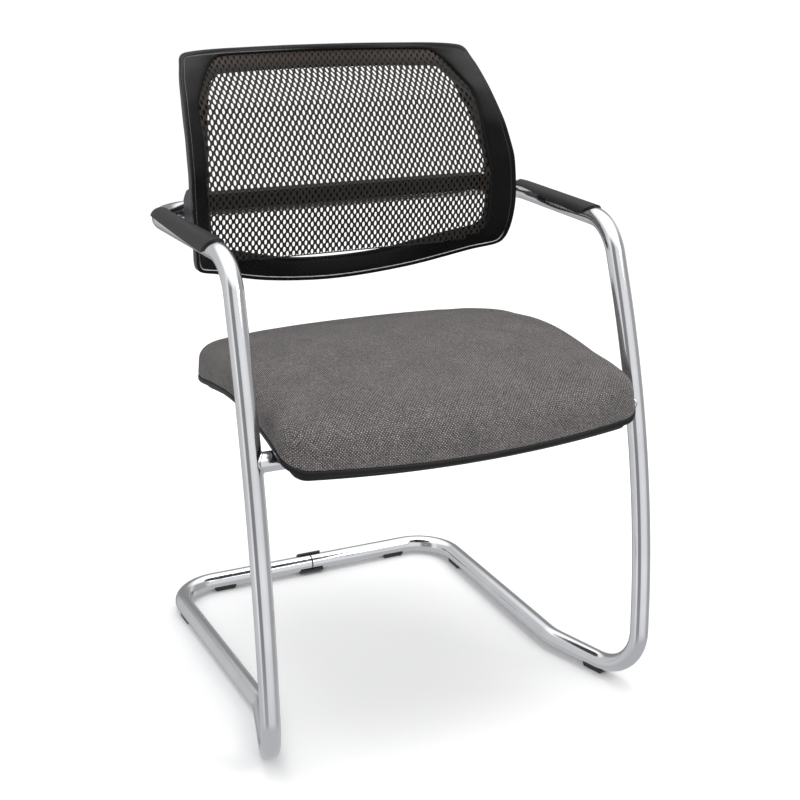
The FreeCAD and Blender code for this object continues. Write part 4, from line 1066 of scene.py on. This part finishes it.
# ray angles, closer together at the outline's corners
cur_out, cur_in, cur_rear = closed_curve(OUTER), closed_curve(BEZEL_IN), closed_curve(REAR_IN)
d = np.linalg.norm(np.roll(cur_out, -1, axis=0) - cur_out, axis=1)
turns = np.roll(cur_out, -1, axis=0) - cur_out
ta = np.unwrap(np.arctan2(turns[:, 1], turns[:, 0]))
bend = np.abs(np.gradient(ta))
weight = d / d.sum() + 0.35 * bend / bend.sum()
cw = np.concatenate([[0], np.cumsum(weight)])
cw /= cw[-1]
pick = np.interp(np.linspace(0, 1, NB, endpoint=False), cw, np.arange(len(cw)))
idx = np.clip(pick.astype(int), 0, len(cur_out) - 1)
ANG = np.sort(np.arctan2(cur_out[idx][:, 0], cur_out[idx][:, 1] - 700.0))
DIRS = np.column_stack([np.sin(ANG), np.cos(ANG)])
R_OUT, R_IN, R_REAR = polar(cur_out, ANG), polar(cur_in, ANG), polar(cur_rear, ANG)
P_OUT = BC + DIRS * R_OUT[:, None]
tan = np.roll(P_OUT, -1, axis=0) - np.roll(P_OUT, 1, axis=0)
tan /= np.linalg.norm(tan, axis=1)[:, None]
COSA = np.abs(tan[:, 0] * DIRS[:, 1] - tan[:, 1] * DIRS[:, 0])


def back_row(dist, lift, inner=None, share=None):
    """Points at a distance in from the outline (measured square to it), or at a share of the way to an inner curve."""
    if share is None:
        r = R_OUT - dist / np.maximum(COSA, 0.5)
    else:
        r = R_OUT + (inner - R_OUT) * share - (dist or 0)
    p = BC + DIRS * r[:, None]
    return np.column_stack([p[:, 0], face_y(p[:, 0], p[:, 1]) + lift, p[:, 1]])


def inner_row(inner, off, lift):
    """Points at a distance outside an inner curve."""
    p = BC + DIRS * (inner + off)[:, None]
    return np.column_stack([p[:, 0], face_y(p[:, 0], p[:, 1]) + lift, p[:, 1]])


bz = Build()
rows = [back_row(0.4, 4.4), back_row(0.05, 3.9), back_row(0.0, 2.6), back_row(0.0, 0.9), back_row(0.12, 0.2), back_row(0.45, -0.35),
        back_row(1.0, -0.7), back_row(1.8, -0.85), back_row(3.2, -0.85), back_row(4.6, -0.85), back_row(4.95, -0.8), back_row(5.2, -0.62),
        back_row(5.45, -0.36), back_row(5.7, -0.12), back_row(6.0, -0.02), back_row(6.4, 0.0)]
for s_ in (0.3, 0.45, 0.6, 0.75, 0.88):
    base_r = R_OUT - 6.4 / np.maximum(COSA, 0.5)
    r = base_r + (R_IN + 5.0 - base_r) * ((s_ - 0.2) / 0.8)
    p = BC + DIRS * r[:, None]
    rows.append(np.column_stack([p[:, 0], face_y(p[:, 0], p[:, 1]) - 0.2 * math.sin(math.pi * s_), p[:, 1]]))
rows += [inner_row(R_IN, 4.4, 0.05), inner_row(R_IN, 3.0, 0.5), inner_row(R_IN, 1.5, 1.4), inner_row(R_IN, 0.3, 2.4),
         inner_row(R_IN, 0.0, 2.9), inner_row(R_IN, 0.3, 3.2), inner_row(R_IN, 2.0, 3.3), inner_row(R_IN, 6.0, 4.4)]
bz.grid(np.array(rows), close_u=True, close_v=True)
bezel = make("back_bezel_visual", bz.v, bz.f, BLACK, 60.0)
bezel.data.materials.append(CREASE_HIGHLIGHT)
mid = np.array([p.center[:] for p in bezel.data.polygons]) * 1000.0
angle = np.arctan2(mid[:, 0], mid[:, 2] - 700.0)
inset = (polar(cur_out, angle) - np.hypot(mid[:, 0], mid[:, 2] - 700.0)) * np.interp(angle, ANG, COSA)
proud = mid[:, 1] - face_y(mid[:, 0], mid[:, 2])
# faces of the thin crease band take the painted-highlight material
for p, d_in, up in zip(bezel.data.polygons, inset, proud):
    p.material_index = 1 if 4.9 < d_in < 5.95 and up < 0.3 else 0
settle(bezel, "back_bezel")

back_depth = smooth_table([(500, 18.0), (790, 18.0), (815, 13.5), (840, 8.5), (880, 7.5)])


def wall_row(dist, share, cut_=0.0):
    """A point row on the rear frame's side wall, at a share of the depth to its back."""
    r = R_OUT - dist / np.maximum(COSA, 0.5)
    p = BC + DIRS * r[:, None]
    return np.column_stack([p[:, 0], face_y(p[:, 0], p[:, 1]) + 4.6 + (back_depth(p[:, 1]) - 4.6) * share - cut_, p[:, 1]])


rf = Build()
rows = [inner_row(R_REAR, 5.0, 4.5), inner_row(R_REAR, 1.2, 4.5), inner_row(R_REAR, 0.3, 4.8), inner_row(R_REAR, 0.0, 5.3),
        inner_row(R_REAR, 0.0, 6.2), inner_row(R_REAR, 0.5, 6.9), inner_row(R_REAR, 1.6, 7.2), inner_row(R_REAR, 3.5, 7.3)]
for s_ in (0.25, 0.5, 0.75):
    r = R_REAR + 3.5 + (R_OUT - 11.0 - R_REAR - 3.5) * s_
    p = BC + DIRS * r[:, None]
    lift = 7.3 + (back_depth(p[:, 1]) - 7.3) * (0.5 - 0.5 * math.cos(math.pi * s_))
    rows.append(np.column_stack([p[:, 0], face_y(p[:, 0], p[:, 1]) + lift, p[:, 1]]))
rows += [wall_row(10.0, 1.0), wall_row(4.2, 1.0), wall_row(2.6, 1.0, 0.25), wall_row(1.2, 1.0, 1.0), wall_row(0.4, 1.0, 2.1),
         wall_row(0.05, 1.0, 3.3), wall_row(0.0, 0.5), wall_row(0.0, 0.1), wall_row(0.25, 0.02), wall_row(0.8, 0.0), wall_row(5.0, 0.0)]
rf.grid(np.array(rows), close_u=True, close_v=True)
rear = make("back_rear_frame_visual", rf.v, rf.f, GREY, 60.0)
rear.data.materials.append(LIP)
mid = np.array([p.center[:] for p in rear.data.polygons]) * 1000.0
angle = np.arctan2(mid[:, 0], mid[:, 2] - 700.0)
inset = (polar(cur_out, angle) - np.hypot(mid[:, 0], mid[:, 2] - 700.0)) * np.interp(angle, ANG, COSA)
ahead = mid[:, 1] - face_y(mid[:, 0], mid[:, 2])
# painted light: the side wall and back keep the lighter grey that stands in for light from the left, and the forward
# flange takes the near-black moulding
for p, d_in, up in zip(rear.data.polygons, inset, ahead):
    p.material_index = 1 if d_in > 1.0 and up < 7.0 else 0
settle(rear, "back_rear_frame")

# lugs: from the rear frame's side walls back to the spacers on the tube
for side, word in ((1, "right"), (-1, "left")):
    lg = Build()
    rows = []
    for x in (224.0, 227.0, 231.0, 235.0, 238.2):
        y0 = float(face_y(x, 650.0)) + 8.0
        rows.append([(side * x, y, z) for y, z in ((y0, 627.5), (90.0, 628.0), (103.0, 629.0), (103.0, 640.0), (103.0, 655.0), (103.0, 664.0),
                                                  (97.0, 671.0), (88.0, 678.5), (y0, 686.0))])
    pts = np.array(rows)
    n = pts.shape[1]
    lg.grid(pts, close_v=True)
    lg.cap(list(range(n))[::-1])
    lg.cap([(len(rows) - 1) * n + k for k in range(n)])
    ob = make("back_lug_%s" % word, lg.v, lg.f, GREY, 30.0)
    bevelled(ob, 1.6, 3, 30.0)
    settle(ob)

# mesh: three flat runs from side to side, lying on the flange at its edges
PROFILE = [(540, 169.2), (577.5, 166.2), (673.0, 158.6), (781.0, 203.1), (818.0, 247.9), (880.0, 322.9)]


def mesh_flat(z):
    z = np.asarray(z, float)
    xs, ys = np.array([p[0] for p in PROFILE], float), np.array([p[1] for p in PROFILE], float)
    return sum(np.interp(z + k, xs, ys) for k in (-3, -1.5, 0, 1.5, 3)) / 5.0 - YS


def mesh_y(x, z):
    follow = face_y(x, z) + 3.3
    t = np.clip((np.asarray(z, float) - 806.0) / 22.0, 0.0, 1.0)
    t = t * t * (3 - 2 * t)
    y = mesh_flat(z) + t * (follow - mesh_flat(z))
    return np.minimum(y, follow)


PITCH, LOW = 9.06, 577.5
_aa = np.linspace(-np.pi, np.pi, 2881)
_rr = polar(cur_in, _aa)


def inside(x, z, margin):
    return math.hypot(x, z - 700.0) < float(np.interp(math.atan2(x, z - 700.0), _aa, _rr)) + margin


# ---- mesh lattice: columns of ovals, staggered; built as a field of hexagonal cells
mb = Build()
key = {}


def vert(x, z, back):
    k = (round(x, 3), round(z, 3), back)
    if k not in key:
        key[k] = len(mb.v)
        mb.v.append(np.array([x, float(mesh_y(x, z)) + (0.9 if back else 0.0), z]))
    return key[k]


hex_cells = []
rows_z = [LOW + 4.3]
while rows_z[-1] < 850.0:
    zc = rows_z[-1]
    rows_z.append(zc + (6.4 if zc < 776 else (5.8 if zc < 784 else 5.25)))
for i, zc in enumerate(rows_z):
    dn = (zc - rows_z[i - 1]) if i else 6.4
    up = (rows_z[i + 1] - zc) if i + 1 < len(rows_z) else 5.25
    shift = 0.5 * PITCH if i % 2 else 0.0
    for col in range(-26, 27):
        xc = col * PITCH + shift
        if inside(xc, zc, 4.5):
            hex_cells.append((xc, zc, dn, up, i == 0))
SQ = 0.20
for xc, zc, dn, up, first in hex_cells:
    # a hexagon with its points up and down: side edges at half a pitch
    lo = zc - dn * 0.5
    hi = zc + up * 0.5
    e = [(xc + PITCH / 2, hi - up * SQ), (xc + PITCH / 4, hi), (xc, hi + up * SQ), (xc - PITCH / 4, hi), (xc - PITCH / 2, hi - up * SQ),
         (xc - PITCH / 2, zc), (xc - PITCH / 2, lo + dn * SQ), (xc - PITCH / 4, lo), (xc, lo - dn * SQ), (xc + PITCH / 4, lo),
         (xc + PITCH / 2, lo + dn * SQ), (xc + PITCH / 2, zc)]
    if first:
        e = [(x, max(z, LOW)) for x, z in e]
    k2 = len(e)
    rx, rz = 0.205 * PITCH, 0.585 * (dn + up) / 2
    hole = []
    for x, z in e:
        a = math.atan2((z - zc) / rz, (x - xc) / rx)
        ca, sa = math.cos(a), math.sin(a)
        s = (abs(ca) ** 2.5 + abs(sa) ** 2.5) ** (-1 / 2.5)
        hole.append((xc + rx * s * ca, zc + rz * s * sa))
    ids = {}
    for back in (0, 1):
        ids[back] = ([vert(x, z, back) for x, z in e], [vert(x, z, back) for x, z in hole])
    for j in range(k2):
        j2 = (j + 1) % k2
        a, b_ = ids[0]
        c_, d_ = ids[1]
        mb.f.append((a[j], a[j2], b_[j2], b_[j]))
        mb.f.append((c_[j2], c_[j], d_[j], d_[j2]))
        mb.f.append((b_[j], b_[j2], d_[j2], d_[j]))
# rim faces close the sheet where a cell has no neighbour
count = {}
nf = len(mb.f)
for f in mb.f:
    for j in range(len(f)):
        e = (min(f[j], f[(j + 1) % len(f)]), max(f[j], f[(j + 1) % len(f)]))
        count[e] = count.get(e, 0) + 1
back_of = {key[k]: key[(k[0], k[1], 1)] for k in key if k[2] == 0}
for (a, b_), c_ in list(count.items()):
    if c_ == 1 and a in back_of and b_ in back_of:
        mb.f.append((a, b_, back_of[b_], back_of[a]))
mesh = make("back_mesh_visual", mb.v, mb.f, YARN, 50.0)
settle(mesh, "back_mesh")

# lower hem of the mesh: a thin bound edge
xs = np.linspace(-141, 141, 80)
hem_path = np.array([(x, float(mesh_y(x, LOW)) + 0.45, LOW + 0.3) for x in xs])
hb = tube_build(hem_path, 0.85, n=10, chamfer=0.2)
hem = make("back_mesh_hem", hb.v, hb.f, YARN)
settle(hem)

for name, mat in (("back_carrier", LIP), ("back_spacer_left", RUBBER), ("back_spacer_right", RUBBER), ("floor_joint_ring", RUBBER),
                  ("floor_joint_sleeve", ZINC), ("top_joint_sleeve", ZINC), ("joint_screws", ZINC), ("seat_tee_nuts", ZINC),
                  ("bezel_screws", ZINC), ("back_bolts", ZINC), ("carrier_screws", ZINC)):
    NODES[name].data.materials.clear()
    NODES[name].data.materials.append(mat)
bevelled(NODES["back_carrier"], 1.2, 2, 50.0)
bevelled(NODES["back_spacer_left"], 0.5, 2, 50.0)
bevelled(NODES["back_spacer_right"], 0.5, 2, 50.0)


# --------------------------------------------------------- floor, light, camera
bpy.ops.mesh.primitive_plane_add(size=160.0, location=(0, 0, 0))
floor = bpy.context.object
floor.name = "floor"
floor.data.materials.append(floor_material("floor_paint"))
floor.visible_glossy = False

world = bpy.data.worlds.new("studio")
bpy.context.scene.world = world
world.use_nodes = True
wt = world.node_tree
bg = wt.nodes["Background"]
tc = wt.nodes.new("ShaderNodeTexCoord")
grad = wt.nodes.new("ShaderNodeTexGradient")
grad.gradient_type = "RADIAL"
wt.links.new(tc.outputs["Generated"], grad.inputs["Vector"])
wsep = wt.nodes.new("ShaderNodeSeparateXYZ")
wt.links.new(tc.outputs["Generated"], wsep.inputs[0])


def wall(az_deg):
    """Ramp position of a direction: degrees to the right of the view from the camera's side."""
    a = math.radians(-90.0 - 25.3 + az_deg)
    return (a / (2 * math.pi) + 0.5) % 1.0


bands = [(-180, 0.30), (-150, 0.30), (-132, 0.62), (-75, 0.70), (-62, 0.95), (-52, 0.95), (-46, 0.28), (-14, 0.26), (-6, 0.85),
         (30, 0.92), (66, 0.80), (78, 0.42), (120, 0.40), (140, 0.75), (156, 0.34)]
stops = sorted((wall(a), (v, v, v * 1.01)) for a, v in bands)
first, last = stops[0], stops[-1]
span = first[0] + 1.0 - last[0]
t = (1.0 - last[0]) / span
edge = tuple(last[1][k] + (first[1][k] - last[1][k]) * t for k in range(3))
stops = [(0.0, edge)] + stops + [(1.0, edge)]
side_col = ramp(wt, grad.outputs["Fac"], stops)
high = remap(wt, wsep.outputs[2], 0.50, 0.72, 0.0, 1.0)
low = remap(wt, wsep.outputs[2], -0.35, -0.62, 0.0, 1.0)
col = mix_rgb(wt, high, side_col, (1.40, 1.405, 1.415))
col = mix_rgb(wt, low, col, (0.55, 0.55, 0.56))
wt.links.new(col, bg.inputs["Color"])
bg.inputs["Strength"].default_value = 1.0


def area_light(name, loc, target, size, power, shape_y=None):
    d = bpy.data.lights.new(name, "AREA")
    d.energy = power
    d.shape = "RECTANGLE"
    d.size = size
    d.size_y = shape_y or size
    o = bpy.data.objects.new(name, d)
    COLL.objects.link(o)
    o.location = loc
    o.rotation_euler = (Vector(target) - Vector(loc)).to_track_quat("-Z", "Y").to_euler()
    return o


area_light("top_box", (0.1, -0.3, 3.2), (0, 0, 0.4), 2.4, 34.0, 1.6)
area_light("key_box", (1.6, -2.6, 2.4), (0, 0, 0.5), 1.4, 26.0)

cam_data = bpy.data.cameras.new("camera")
cam = bpy.data.objects.new("camera", cam_data)
COLL.objects.link(cam)
cam.location = (-0.75661, -1.66634, 0.97985)
cam.rotation_euler = (Vector((-0.00831, -0.0832, 0.4073)) - Vector(cam.location)).to_track_quat("-Z", "Y").to_euler()
cam_data.sensor_width = 36.0
cam_data.sensor_fit = "HORIZONTAL"
cam_data.lens = 62.133
cam_data.clip_end = 300.0
bpy.context.scene.camera = cam
vs = bpy.context.scene.view_settings
vs.view_transform = "Standard"
vs.look = "None"
vs.exposure = 0.0
